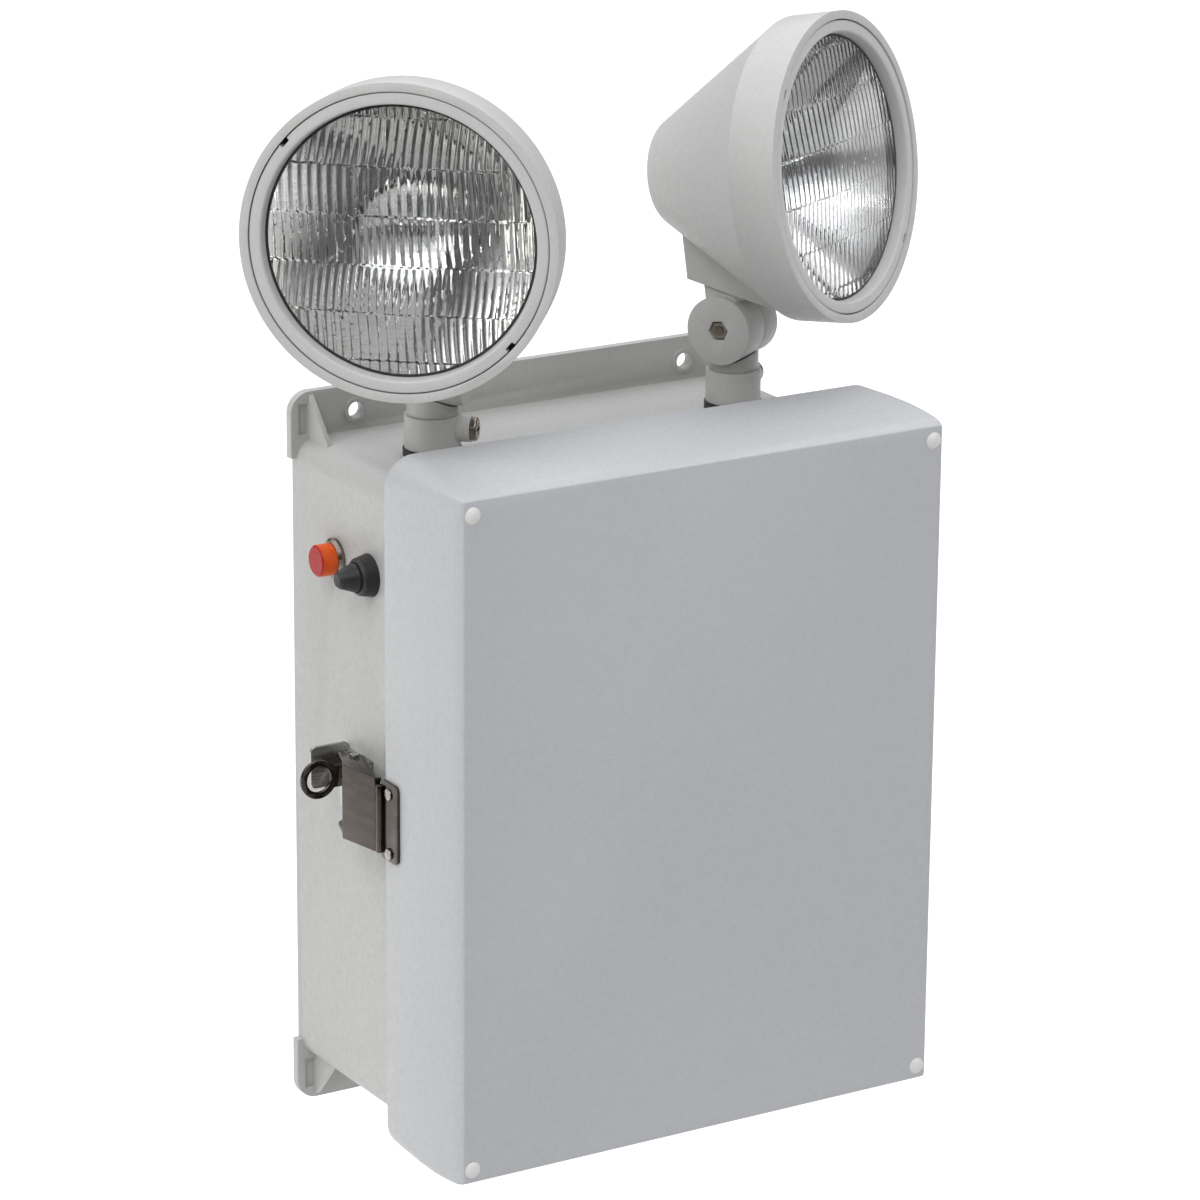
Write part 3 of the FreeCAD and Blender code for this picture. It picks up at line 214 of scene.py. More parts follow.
class Effect:
    """Shader node groups that more than one finish uses, each built once."""

    RESULTS = (("Colour", "Color"), ("Roughness", "Float"), ("Height", "Float"))
    COARSE_SCALE = 0.35
    COARSE_SHARE = 0.6
    CLOUD_SCALE = 9.0
    FLECK_RANGE: Range = (0.62, 1.02)
    SMUDGE_SCALE = 70.0
    SMUDGE_RANGE: Range = (0.48, 0.7)
    SMUDGE_ROUGH = 0.25

    _built: dict[str, bpy.types.NodeTree] = {}

    @classmethod
    def group(cls, name: str, inputs: Sequence[tuple[str, str]],
              outputs: Sequence[tuple[str, str]],
              wire: Callable[[Graph, bpy.types.Node, bpy.types.Node], None]
              ) -> bpy.types.NodeTree:
        """Return the named group, and build it the first time.

        Args:
            name: the group's name.
            inputs: pairs of socket name and socket type word.
            outputs: the same for what it puts out.
            wire: fills the group between its input and output nodes.
        Returns:
            The node group.
        """
        if name not in cls._built:
            tree = bpy.data.node_groups.new(name, "ShaderNodeTree")
            for way, sockets in (("INPUT", inputs), ("OUTPUT", outputs)):
                for label, kind in sockets:
                    tree.interface.new_socket(name=label, in_out=way,
                                              socket_type="NodeSocket" + kind)
            graph = Graph(tree)
            wire(graph, graph.node("NodeGroupInput"), graph.node("NodeGroupOutput"))
            cls._built[name] = tree
        return cls._built[name]

    @classmethod
    def mottle(cls) -> bpy.types.NodeTree:
        """Fine fleck, slow clouding and an even grain, for moulded and painted surfaces.

        Returns:
            The node group.
        """
        def wire(graph: Graph, given: bpy.types.Node, out: bpy.types.Node) -> None:
            """Wire the group between its given and out nodes."""
            get = given.outputs
            fine = graph.noise(get["Vector"], get["Grain"], 2.0, 0.6)
            coarse_scale = graph.maths("MULTIPLY", get["Grain"], cls.COARSE_SCALE)
            coarse = graph.noise(get["Vector"], coarse_scale, 3.0, 0.55)
            cloud = graph.noise(get["Vector"], cls.CLOUD_SCALE)
            both = graph.maths("ADD", fine, graph.maths("MULTIPLY", coarse, cls.COARSE_SHARE))
            fleck = graph.remap(both, *cls.FLECK_RANGE, 0.0, 1.0)
            speckled = graph.blend(graph.maths("MULTIPLY", fleck, get["Fleck Amount"]),
                                   get["Base"], get["Fleck"])
            shade = graph.maths("MULTIPLY", graph.remap(cloud, 0.35, 0.65, 0.0, 1.0),
                                get["Cloud Amount"])
            graph.link(graph.blend(shade, speckled, get["Cloud"]), out.inputs["Colour"])
            graph.link(graph.remap(coarse, 0.3, 0.7, get["Rough Low"], get["Rough High"]),
                       out.inputs["Roughness"])
            graph.link(fine, out.inputs["Height"])
        return cls.group("mottle", [("Vector", "Vector"), ("Base", "Color"), ("Fleck", "Color"),
                                    ("Cloud", "Color"), ("Grain", "Float"),
                                    ("Fleck Amount", "Float"), ("Cloud Amount", "Float"),
                                    ("Rough Low", "Float"), ("Rough High", "Float")],
                         cls.RESULTS, wire)

    @classmethod
    def drawn_lines(cls) -> bpy.types.NodeTree:
        """Long fine lines left by rolling, brushing or drawing, with smudges over them.

        Returns:
            The node group.
        """
        def wire(graph: Graph, given: bpy.types.Node, out: bpy.types.Node) -> None:
            """Wire the group between its given and out nodes."""
            get = given.outputs
            stretch = graph.node("ShaderNodeVectorMath", operation="MULTIPLY")
            graph.link(get["Vector"], stretch.inputs[0])
            graph.link(get["Stretch"], stretch.inputs[1])
            lines = graph.noise(stretch.outputs[0], get["Grain"], 4.0, 0.65)
            smudge = graph.noise(get["Vector"], cls.SMUDGE_SCALE, 4.0, 0.6)
            tone = graph.blend(graph.remap(lines, 0.3, 0.7, 0.0, 1.0), get["Dark"], get["Base"])
            worn = graph.remap(smudge, *cls.SMUDGE_RANGE, 0.0, get["Smudge Amount"])
            graph.link(graph.blend(worn, tone, get["Dark"]), out.inputs["Colour"])
            rough = graph.remap(lines, 0.25, 0.75, get["Rough Low"], get["Rough High"])
            dulled = graph.maths("MULTIPLY", worn, cls.SMUDGE_ROUGH)
            graph.link(graph.maths("ADD", rough, dulled), out.inputs["Roughness"])
            graph.link(lines, out.inputs["Height"])
        return cls.group("drawn_lines", [("Vector", "Vector"), ("Stretch", "Vector"),
                                         ("Base", "Color"), ("Dark", "Color"), ("Grain", "Float"),
                                         ("Smudge Amount", "Float"), ("Rough Low", "Float"),
                                         ("Rough High", "Float")],
                         cls.RESULTS, wire)


def opaque(colour: Colour) -> tuple[float, float, float, float]:
    """Colour with an alpha of one."""
    return (*colour, 1.0)


def scaled(colour: Colour, factor: float) -> Colour:
    """Colour made darker or lighter by one factor."""
    return tuple(min(1.0, part * factor) for part in colour)


@dataclass(frozen=True)
class Finish:
    """A surface finish.  Subclasses say how its shader is wired."""

    name: str
    slot: str
    colour: Colour

    def wire(self, graph: Graph, shader: bpy.types.Node, vector: bpy.types.NodeSocket) -> None:
        """Wire this finish into a shader whose pattern follows a vector."""
        raise NotImplementedError

    def material(self) -> bpy.types.Material:
        """Build the material of this finish, the first time it is asked for.

        Returns:
            The Blender material.
        """
        label = self.name + "_finish"
        made = bpy.data.materials.get(label)
        if made is None:
            made = bpy.data.materials.new(label)
            made.use_nodes = True
            made.diffuse_color = opaque(self.colour)
            graph = Graph(made.node_tree)
            shader = made.node_tree.nodes["Principled BSDF"]
            place = graph.node("ShaderNodeTexCoord")
            self.wire(graph, shader, place.outputs["Object"])
        return made


def bump(graph: Graph, shader: bpy.types.Node, height: bpy.types.NodeSocket, strength: float,
         depth: float) -> None:
    """Put a height through a Bump node into the shader's Normal.

    Args:
        graph: the material's tree.
        shader: the node that is bumped.
        height: the pattern.
        strength: how strongly it shows.
        depth: its depth in metres.
    """
    made = graph.node("ShaderNodeBump")
    graph.feed(made, Strength=strength, Distance=depth, Height=height)
    graph.link(made.outputs["Normal"], shader.inputs["Normal"])


@dataclass(frozen=True)
class Moulded(Finish):
    """Moulded plastic, fibreglass, rubber or enamel with a fine grain and fleck."""

    rough: Range = (0.35, 0.5)
    grain: float = 1400.0
    fleck: float = 0.25
    fleck_tone: float = 0.82
    cloud: float = 0.2
    relief: float = 0.12
    relief_depth: float = 0.0004
    coat: float = 0.0
    coat_rough: float = 0.2
    specular: float = 0.5
    cloud_tone: float = 1.06

    def wire(self, graph: Graph, shader: bpy.types.Node, vector: bpy.types.NodeSocket) -> None:
        """Wire the mottle group into the shader.

        Args:
            graph: the material's tree.
            shader: its shader node.
            vector: where the pattern is read.
        """
        group = graph.node("ShaderNodeGroup", node_tree=Effect.mottle())
        graph.feed(group, Vector=vector, Base=opaque(self.colour),
                   Fleck=opaque(scaled(self.colour, self.fleck_tone)),
                   Cloud=opaque(scaled(self.colour, self.cloud_tone)), Grain=self.grain,
                   Fleck_Amount=self.fleck, Cloud_Amount=self.cloud,
                   Rough_Low=self.rough[0], Rough_High=self.rough[1])
        graph.feed(shader, Base_Color=group.outputs["Colour"],
                   Roughness=group.outputs["Roughness"], Coat_Weight=self.coat,
                   Coat_Roughness=self.coat_rough, Specular_IOR_Level=self.specular)
        bump(graph, shader, group.outputs["Height"], self.relief, self.relief_depth)


@dataclass(frozen=True)
class Metal(Finish):
    """Rolled, drawn or plated metal with fine lines and smudges."""

    rough: Range = (0.22, 0.38)
    grain: float = 60.0
    stretch: tuple[float, float, float] = (1.0, 1.0, 40.0)
    dark_tone: float = 0.72
    smudge: float = 0.35
    relief: float = 0.05
    relief_depth: float = 0.0002

    def wire(self, graph: Graph, shader: bpy.types.Node, vector: bpy.types.NodeSocket) -> None:
        """Wire the drawn-line group into the shader.

        Args:
            graph: the material's tree.
            shader: its shader node.
            vector: where the pattern is read.
        """
        group = graph.node("ShaderNodeGroup", node_tree=Effect.drawn_lines())
        graph.feed(group, Vector=vector, Stretch=self.stretch, Base=opaque(self.colour),
                   Dark=opaque(scaled(self.colour, self.dark_tone)), Grain=self.grain,
                   Smudge_Amount=self.smudge, Rough_Low=self.rough[0],
                   Rough_High=self.rough[1])
        graph.feed(shader, Base_Color=group.outputs["Colour"],
                   Roughness=group.outputs["Roughness"], Metallic=1.0)
        bump(graph, shader, group.outputs["Height"], self.relief, self.relief_depth)


@dataclass(frozen=True)
class Glass(Finish):
    """Clear or tinted glass or acrylic with faint waviness."""

    ior: float = 1.5
    rough: float = 0.0
    transmission: float = 1.0
    tone_scale: float = 40.0
    tone_low: float = 0.93
    wave_scale: float = 120.0
    relief: float = 0.02
    relief_depth: float = 0.0005

    def wire(self, graph: Graph, shader: bpy.types.Node, vector: bpy.types.NodeSocket) -> None:
        """Wire a transmissive shader with a slow wave in its surface.

        Args:
            graph: the material's tree.
            shader: its shader node.
            vector: where the pattern is read.
        """
        share = graph.remap(graph.noise(vector, self.tone_scale), 0.3, 0.7, 0.0, 1.0)
        tone = graph.blend(share, opaque(self.colour), opaque(scaled(self.colour, self.tone_low)))
        graph.feed(shader, Base_Color=tone, Roughness=self.rough, IOR=self.ior,
                   Transmission_Weight=self.transmission)
        bump(graph, shader, graph.noise(vector, self.wave_scale, 2.0), self.relief,
             self.relief_depth)


@dataclass(frozen=True)
class Tinted(Finish):
    """Tinted acrylic cap whose flat end is painted a deeper red than its lit sides, as painted
    shade.
    """

    # Painted shade: the darker red given to the cap's flat end.
    deep: Colour = (0.42, 0.008, 0.004)
    end_from: float = -0.1168
    end_to: float = -0.1160
    rough: Range = (0.22, 0.34)
    cloud_scale: float = 260.0
    cloud_most: float = 0.45
    cloud_tone: float = 0.6
    transmission: float = 0.25
    specular: float = 0.15
    wave_scale: float = 500.0
    relief: float = 0.05
    relief_depth: float = 0.0004

    def wire(self, graph: Graph, shader: bpy.types.Node, vector: bpy.types.NodeSocket) -> None:
        """Blend the lit side tint into the painted shade of the flat end along X, and let a little
        light through.

        Args:
            graph: the material's tree.
            shader: its shader node.
            vector: where the pattern is read.
        """
        # Painted shade mask: turns the flat end, past end_from along X, to the darker shade tone.
        end = graph.remap(graph.part(vector, "X"), self.end_from, self.end_to, 1.0, 0.0)
        cloud = graph.remap(graph.noise(vector, self.cloud_scale), 0.35, 0.7, 0.0,
                            self.cloud_most)
        side = graph.blend(cloud, opaque(self.colour),
                           opaque(scaled(self.colour, self.cloud_tone)))
        graph.feed(shader, Base_Color=graph.blend(end, side, opaque(self.deep)),
                   Roughness=graph.remap(cloud, 0.0, self.cloud_most, *self.rough),
                   Transmission_Weight=self.transmission, Specular_IOR_Level=self.specular)
        bump(graph, shader, graph.noise(vector, self.wave_scale, 2.0), self.relief,
             self.relief_depth)


class Palette:
    """Every finish of the object, named by its record slot."""

    BOX = Moulded("box_grey", "box_fibreglass", (0.44, 0.445, 0.42), rough=(0.42, 0.58),
                  grain=1100.0, fleck=0.4)
    COVER = Moulded("cover_grey", "cover_fibreglass", (0.45, 0.455, 0.455),
                    rough=(0.36, 0.5), grain=1100.0, fleck=0.4)
    HEAD = Moulded("head_grey", "head_plastic", (0.48, 0.475, 0.455), rough=(0.45, 0.6),
                   grain=1300.0, fleck=0.4)
    RING = Moulded("ring_grey", "ring_plastic", (0.49, 0.49, 0.475), rough=(0.4, 0.55),
                   grain=1300.0, fleck=0.35)
    PLUG = Moulded("plug_grey", "plug_plastic", (0.64, 0.64, 0.60), rough=(0.3, 0.4), fleck=0.08)
    SEAL = Moulded("seal_black", "seal_rubber", (0.020, 0.018, 0.015), rough=(0.5, 0.65), cloud=0.4)
    BUTTON = Moulded("button_black", "button_rubber", (0.009, 0.009, 0.009), rough=(0.38, 0.6),
                     cloud=0.5, grain=900.0)
    INNER = Moulded("inner_black", "inner_plastic", (0.03, 0.03, 0.03), rough=(0.35, 0.5))
    CASE = Moulded("battery_grey", "battery_case", (0.035, 0.036, 0.04), rough=(0.4, 0.6))
    PANEL = Moulded("panel_white", "panel_steel", (0.72, 0.72, 0.70), rough=(0.3, 0.4), fleck=0.1,
                    coat=0.3)
    BOARD = Moulded("board_green", "circuit_board", (0.02, 0.12, 0.05), rough=(0.25, 0.4), coat=0.5)
    TAPE = Moulded("tape_yellow", "coil_tape", (0.6, 0.45, 0.08), rough=(0.3, 0.45))
    TERMINAL = Moulded("terminal_black", "terminal_plastic", (0.04, 0.04, 0.04), rough=(0.35, 0.5))
    LEAD = Moulded("lead_red", "lead_insulation", (0.30, 0.02, 0.02), rough=(0.35, 0.45))
    SHEET = Metal("sheet_steel", "sheet_stainless", (0.52, 0.51, 0.48))
    # Painted reflection: the latch steel's dark base colour stands in for the dark surroundings
    # that its polished surface reflects.
    LATCH = Metal("latch_steel", "latch_steel", (0.105, 0.09, 0.08), rough=(0.06, 0.16),
                  smudge=0.5, dark_tone=0.75, stretch=(1.0, 1.0, 6.0), relief=0.02)
    PIN = Metal("pin_steel", "pin_steel", (0.55, 0.55, 0.54), rough=(0.2, 0.3))
    RIVET = Metal("rivet_steel", "rivet_steel", (0.40, 0.37, 0.34), rough=(0.12, 0.24))
    BEZEL = Metal("bezel_nickel", "bezel_chrome", (0.26, 0.22, 0.19), rough=(0.1, 0.2))
    BRASS = Metal("nut_brass", "nut_brass", (0.62, 0.44, 0.18), rough=(0.25, 0.4))
    ZINC = Metal("zinc_steel", "zinc_steel", (0.36, 0.33, 0.28), rough=(0.16, 0.3))
    SCREW = Metal("screw_steel", "screw_steel", (0.30, 0.25, 0.21), rough=(0.12, 0.26))
    CORE = Metal("core_steel", "core_steel", (0.10, 0.10, 0.11), rough=(0.4, 0.55),
                 stretch=(40.0, 1.0, 1.0))
    SILVER = Metal("reflector_silver", "reflector_silver", (0.92, 0.905, 0.88), rough=(0.02, 0.07),
                   dark_tone=0.8, smudge=0.12, relief=0.01)
    SHIELD = Metal("bulb_shield", "bulb_cap", (0.6, 0.6, 0.58), rough=(0.1, 0.2))
    LENS = Glass("lens_glass", "lens_glass", (0.97, 0.985, 0.98))
    PILOT = Tinted("pilot_red", "pilot_red", (0.92, 0.13, 0.02))

    @classmethod
    def by_slot(cls) -> dict[str, Finish]:
        """Every finish by the slot name that the record gives it."""
        found = (value for value in vars(cls).values() if isinstance(value, Finish))
        return {finish.slot: finish for finish in found}


# ------------------------------------------------------------------ modelling helpers

class Form:
    """A shape being modelled with mesh operators, in millimetres."""

    def __init__(self) -> None:
        """Start with an empty mesh."""
        self.bm = bmesh.new()

    def lathe(self, profile: Profile, closed: bool = True, sides: int = 128) -> None:
        """Turn a profile of (y, radius) points once round the Y axis.

        Args:
            profile: points in order; a radius of zero lies on the axis.
            closed: whether the last point joins the first.
            sides: steps round the turn.
        """
        verts = [self.bm.verts.new((0.0, y, radius)) for y, radius in profile]
        pairs = list(zip(verts, verts[1:])) + ([(verts[-1], verts[0])] if closed else [])
        edges = [self.bm.edges.new(pair) for pair in pairs]
        bmesh.ops.spin(self.bm, geom=verts + edges, cent=(0, 0, 0), axis=(0, 1, 0),
                       angle=math.tau, steps=sides, use_merge=True)
        self.weld()

    def weld(self, distance: float = WELD) -> None:
        """Merge doubled vertices, drop what that collapses and point faces outward.

        Args:
            distance: how near two vertices are merged, in millimetres.
        """
        bmesh.ops.remove_doubles(self.bm, verts=self.bm.verts, dist=distance)
        bmesh.ops.dissolve_degenerate(self.bm, edges=self.bm.edges, dist=distance)
        bmesh.ops.recalc_face_normals(self.bm, faces=self.bm.faces)

    def bevel(self, edges: Iterable[bmesh.types.BMEdge], width: float, segments: int = 3) -> None:
        """Round the given edges."""
        bmesh.ops.bevel(self.bm, geom=list(edges), offset=width, offset_type="OFFSET",
                        affect="EDGES", segments=segments, profile=0.5, material=-1,
                        clamp_overlap=True)

    def sharp(self, degrees: float = 25.0) -> list[bmesh.types.BMEdge]:
        """Edges whose two faces meet at more than an angle.

        Args:
            degrees: that angle.
        Returns:
            The edges.
        """
        limit = math.radians(degrees)
        return [edge for edge in self.bm.edges
                if edge.is_manifold and edge.calc_face_angle(0.0) > limit]

    def soften(self, width: float, segments: int = 3, degrees: float = 25.0) -> None:
        """Round every sharp edge."""
        self.bevel(self.sharp(degrees), width, segments)

    def place(self, matrix: Matrix) -> "Form":
        """Move the whole shape."""
        bmesh.ops.transform(self.bm, matrix=matrix, verts=self.bm.verts)
        return self


def piece(name: str, form: Form, finish: Finish, body: str, stands_for: Sequence[str] = (),
          place: Matrix | None = None, crease: float = 40.0) -> bpy.types.Object:
    """Turn a modelled shape into a dressed piece that rides on a body.

    Args:
        name: the piece's name.
        form: its shape, in millimetres.
        finish: what it is made of.
        body: the body it moves with.
        stands_for: nodes that it replaces.
        place: where the shape goes in the row frame, in millimetres.
        crease: angle in degrees past which shading stays sharp.
    Returns:
        The new object.
    """
    if place is not None:
        form.place(place)
    form.place(Matrix.Diagonal((MM, MM, MM, 1.0)))
    mesh = bpy.data.meshes.new(name)
    form.bm.to_mesh(mesh)
    form.bm.free()
    mesh.shade_smooth()
    mesh.set_sharp_from_angle(angle=math.radians(crease))
    mesh.materials.append(finish.material())
    made = bpy.data.objects.new(name, mesh)
    bpy.context.scene.collection.objects.link(made)
    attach(made, body)
    if stands_for:
        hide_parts(*stands_for)
    log.info("%s: %d faces in %s on %s", name, len(mesh.polygons), finish.name, body)
    return made


def copied(node: str, flat: float = 1.0) -> Form:
    """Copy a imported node's mesh, weld it and make its flat areas whole.

    Args:
        node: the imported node.
        flat: angle in degrees under which neighbouring faces become one.
    Returns:
        The copy, in millimetres.
    """
    form = Form()
    form.bm.from_mesh(frame["nodes"][node].data)
    form.place(Matrix.Diagonal((1 / MM, 1 / MM, 1 / MM, 1.0)))
    bmesh.ops.remove_doubles(form.bm, verts=form.bm.verts, dist=COPY_WELD)
    bmesh.ops.dissolve_limit(form.bm, angle_limit=math.radians(flat), verts=form.bm.verts,
                             edges=form.bm.edges)
    return form


# ------------------------------------------------------------------ refined nodes

def slot_of(node: str) -> str:
    """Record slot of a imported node."""
    return next(part["material_slot"] for part in frame["record"]["subparts"]
                if part["node"] == node)


def body_of(node: str) -> str:
    """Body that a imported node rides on."""
    return frame["nodes"][node]["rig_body"]


def refine(node: str, edge: float, degrees: float = 30.0, segments: int = 2,
           finish: Finish | None = None) -> bpy.types.Object:
    """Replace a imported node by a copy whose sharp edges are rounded.

    Args:
        node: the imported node.
        edge: width of the rounding in millimetres.
        degrees: angle past which an edge counts as sharp.
        segments: steps across each rounding.
        finish: its finish, if not the one of the node's slot.
    Returns:
        The new piece.
    """
    form = copied(node)
    form.soften(edge, segments, degrees)
    finish = finish or Palette.by_slot()[slot_of(node)]
    return piece(node + "_shape", form, finish, body_of(node), [node], crease=32.0)


@dataclass
class Enclosure:
    """The moulded back box and the sheet leaves of its hinge, with their soft edges."""

    box_edge: float = 0.7
    sheet_edge: float = 0.25

    def build(self) -> None:
        """Round the edges of the box and of both hinge leaves."""
        refine("back_box", self.box_edge)
        for node in ("hinge_leaf_box", "hinge_leaf_cover"):
            refine(node, self.sheet_edge)


@dataclass
class FrontCover:
    """The moulded cover, whose walls lean in towards a crisp flat front face.

    The flat face ends at flat_half_x, flat_top and flat_bottom.  Past lean_from, what lies
    outside those lines comes nearer to them, by share of its distance at the front.
    """

    flat_half_x: float = 112.3
    flat_top: float = 148.2
    flat_bottom: float = -138.3
    lean_from: float = -112.0
    front: float = -151.8
    share: float = 0.74
    cuts: int = 9

    def build(self) -> None:
        """Cut the cover's copy into bands and lean the bands in."""
        form = copied("front_cover")
        depth = self.lean_from - self.front
        for step in range(self.cuts):
            level = self.lean_from - depth * step / self.cuts
            everything = form.bm.verts[:] + form.bm.edges[:] + form.bm.faces[:]
            bmesh.ops.bisect_plane(form.bm, geom=everything, plane_co=(0.0, level, 0.0),
                                   plane_no=(0.0, 1.0, 0.0), dist=WELD)
        for vert in form.bm.verts:
            if vert.co.y < self.lean_from:
                share = 1.0 - self.share * ((self.lean_from - vert.co.y) / depth) ** 2
                vert.co.x = self.lean(vert.co.x, -self.flat_half_x, self.flat_half_x, share)
                vert.co.z = self.lean(vert.co.z, self.flat_bottom, self.flat_top, share)
        bmesh.ops.recalc_face_normals(form.bm, faces=form.bm.faces)
        piece("front_cover_shape", form, Palette.COVER, "cover", ["front_cover"], crease=24.0)

    @staticmethod
    def lean(value: float, low: float, high: float, share: float) -> float:
        """Bring what lies outside a range nearer to it.

        Args:
            value: a place along one axis.
            low: start of the range.
            high: end of the range.
            share: how much of the distance outside the range is kept.
        Returns:
            The new place.
        """
        if value > high:
            return high + (value - high) * share
        return low + (value - low) * share if value < low else value


@dataclass
class Latch:
    """The toggle latch on the left side, its padlock eye and the sheet pieces' rivets."""

    edge: float = 0.45

    def build(self) -> None:
        """Round the edges of the pressed pieces and the rivets, and give the latch base the lighter
        sheet finish as painted light.
        """
        for node in ("latch_lever", "latch_keeper", "padlock_eye", "box_rivets", "cover_rivets"):
            refine(node, self.edge)
        # Painted light: the latch base takes the lighter sheet colour because its tab faces up and
        # reflects the light from above.
        refine("latch_base", self.edge, finish=Palette.SHEET)


# ------------------------------------------------------------------ lamp heads

@dataclass
class LampHead:
    """One lamp head: shell, ring, fluted lens, bowl and bulb.

    The head's own frame has its origin on the tilt axis, X along that axis and -Y out of
    the lamp; the lamp's axis lies one rise above it.
    """

    hand: Hand
    pan: float
    tilt: float
    stem: tuple[float, float, float] = (72.46, -55.8, 174.8)
    rise: float = 65.2
    lens_radius: float = 57.0
    lens_rim: float = -55.4
    crown: float = 4.4
    thick: float = 2.4
    plain_rim: float = 2.6
    focal: float = 16.2
    bowl_back: float = -6.0
    bowl_neck: float = 9.0
    bowl_mouth: float = 55.2
    bowl_wall: tuple[float, float] = (1.4, 0.7)
    bowl_lip: Range = (-0.2, 1.6)
    bowl_steps: int = 40
    cells: int = 200
    flute_pitch: float = 3.6
    flute_depth: float = 0.75
    flute_bow: float = 0.0028
    flute_lean: float = 0.10
    pitch_swing: float = 0.12
    band_height: float = 19.5
    band_step: float = 0.035
    band_shift: float = 1.3

    @property
    def matrix(self) -> Matrix:
        """Place of the lamp's own frame in the row frame.

        Returns:
            The matrix, in millimetres.
        """
        x, y, z = self.stem
        turn = Matrix.Rotation(math.radians(self.pan), 4, "Z")
        lean = Matrix.Rotation(-math.radians(self.tilt), 4, "X")
        lift = Matrix.Translation((0, 0, self.rise))
        return Matrix.Translation((self.hand.value * x, y, z)) @ turn @ lean @ lift

    def named(self, part: str) -> str:
        """Name of one of this head's nodes or pieces."""
        return f"{self.hand.word}_{part}"

    def build(self) -> None:
        """Model every piece of the head."""
        for part, edge in (("head_shell", 0.7), ("retaining_ring", 0.35), ("neck", 0.6),
                           ("collar", 0.5)):
            refine(self.named(part), edge)
        self.lens()
        self.bowl()
        self.bulb()

    def dome(self, x: float, z: float) -> float:
        """Depth of the lens' plain curve at a point, in front of its rim."""
        return -self.crown * (1.0 - (x * x + z * z) / self.lens_radius ** 2)

    def flute(self, x: float, z: float) -> float:
        """Height of the pressed pattern: bands of upright flutes, each band its own way.

        The sines only give each band its own pitch and lean, without a table of them.

        Args:
            x: place across the lens, in millimetres.
            z: place up the lens, in millimetres.
        Returns:
            The height behind the lens' plain curve.
        """
        band = math.floor(z / self.band_height + 0.5)
        across = z - band * self.band_height
        bow = self.flute_bow * (1 if band % 2 else -1) * across * across
        lean = self.flute_lean * math.sin(2.1 * band + 0.6) * across
        pitch = self.flute_pitch * (1.0 + self.pitch_swing * math.sin(1.7 * band))
        place = x + lean + bow * math.copysign(1.0, x) + self.band_shift * band
        share = (place / pitch) % 1.0
        barrel = 1.0 - (2.0 * share - 1.0) ** 2
        return self.flute_depth * barrel + self.band_step * across

    def lens(self) -> None:
        """Pressed glass lens: smooth dome in front, bands of flutes behind."""
        form = Form()
        bmesh.ops.create_grid(form.bm, x_segments=self.cells, y_segments=self.cells, size=1.0)
        back = list(form.bm.verts)
        for vert in back:
            u, v = vert.co.x, vert.co.y
            x = self.lens_radius * u * math.sqrt(1.0 - v * v / 2.0)
            z = self.lens_radius * v * math.sqrt(1.0 - u * u / 2.0)
            vert.co = (x, self.lens_rim + self.dome(x, z), z)
        made = bmesh.ops.extrude_face_region(form.bm, geom=list(form.bm.faces))
        moved = {item for item in made["geom"] if isinstance(item, bmesh.types.BMVert)}
        for vert in moved:
            x, z = vert.co.x, vert.co.z
            inside = 1.0 if x * x + z * z < (self.lens_radius - self.plain_rim) ** 2 else 0.0
            vert.co.y += self.thick + inside * self.flute(x, z)
        bmesh.ops.recalc_face_normals(form.bm, faces=form.bm.faces)
        piece(self.named("fluted_lens"), form, Palette.LENS, self.named("head"),
              [self.named("lamp_lens")], self.matrix, crease=60.0)

    def bowl(self) -> None:
        """Silvered bowl of parabolic section with a rolled rim."""
        inner = []
        for step in range(self.bowl_steps + 1):
            radius = self.bowl_neck + (self.bowl_mouth - self.bowl_neck) * step / self.bowl_steps
            bulge = (radius ** 2 - self.bowl_neck ** 2) / (4.0 * self.focal)
            inner.append((self.bowl_back - bulge, radius))
        rim_y = inner[-1][0]
        rim = [(rim_y + lip, self.lens_radius) for lip in self.bowl_lip]
        deeper, wider = self.bowl_wall
        outer = [(y + deeper, radius + wider) for y, radius in reversed(inner[:-1])]
        form = Form()
        form.lathe(inner + rim + outer, sides=160)
        piece(self.named("silver_bowl"), form, Palette.SILVER, self.named("head"),
              [self.named("lamp_bowl")], self.matrix, crease=30.0)

    def bulb(self) -> None:
        """Bulb: its stepped base and the capped capsule in front of it."""
        base = Form()
        base.lathe([(-4.6, 0.0), (-4.6, 8.6), (-7.0, 8.6), (-8.4, 6.4), (-14.0, 5.6), (-14.0, 0.0)],
                   closed=False, sides=48)
        piece(self.named("bulb_base"), base, Palette.SHIELD, self.named("head"),
              [self.named("lamp_bulb")], self.matrix)
        capsule = Form()
        capsule.lathe([(-13.6, 0.0), (-13.6, 4.4), (-24.0, 4.6), (-27.0, 3.6), (-28.6, 1.6),
                       (-29.0, 0.0)], closed=False, sides=40)
        piece(self.named("bulb_capsule"), capsule, Palette.SHIELD, self.named("head"), [],
              self.matrix)


# ------------------------------------------------------------------ stage and camera

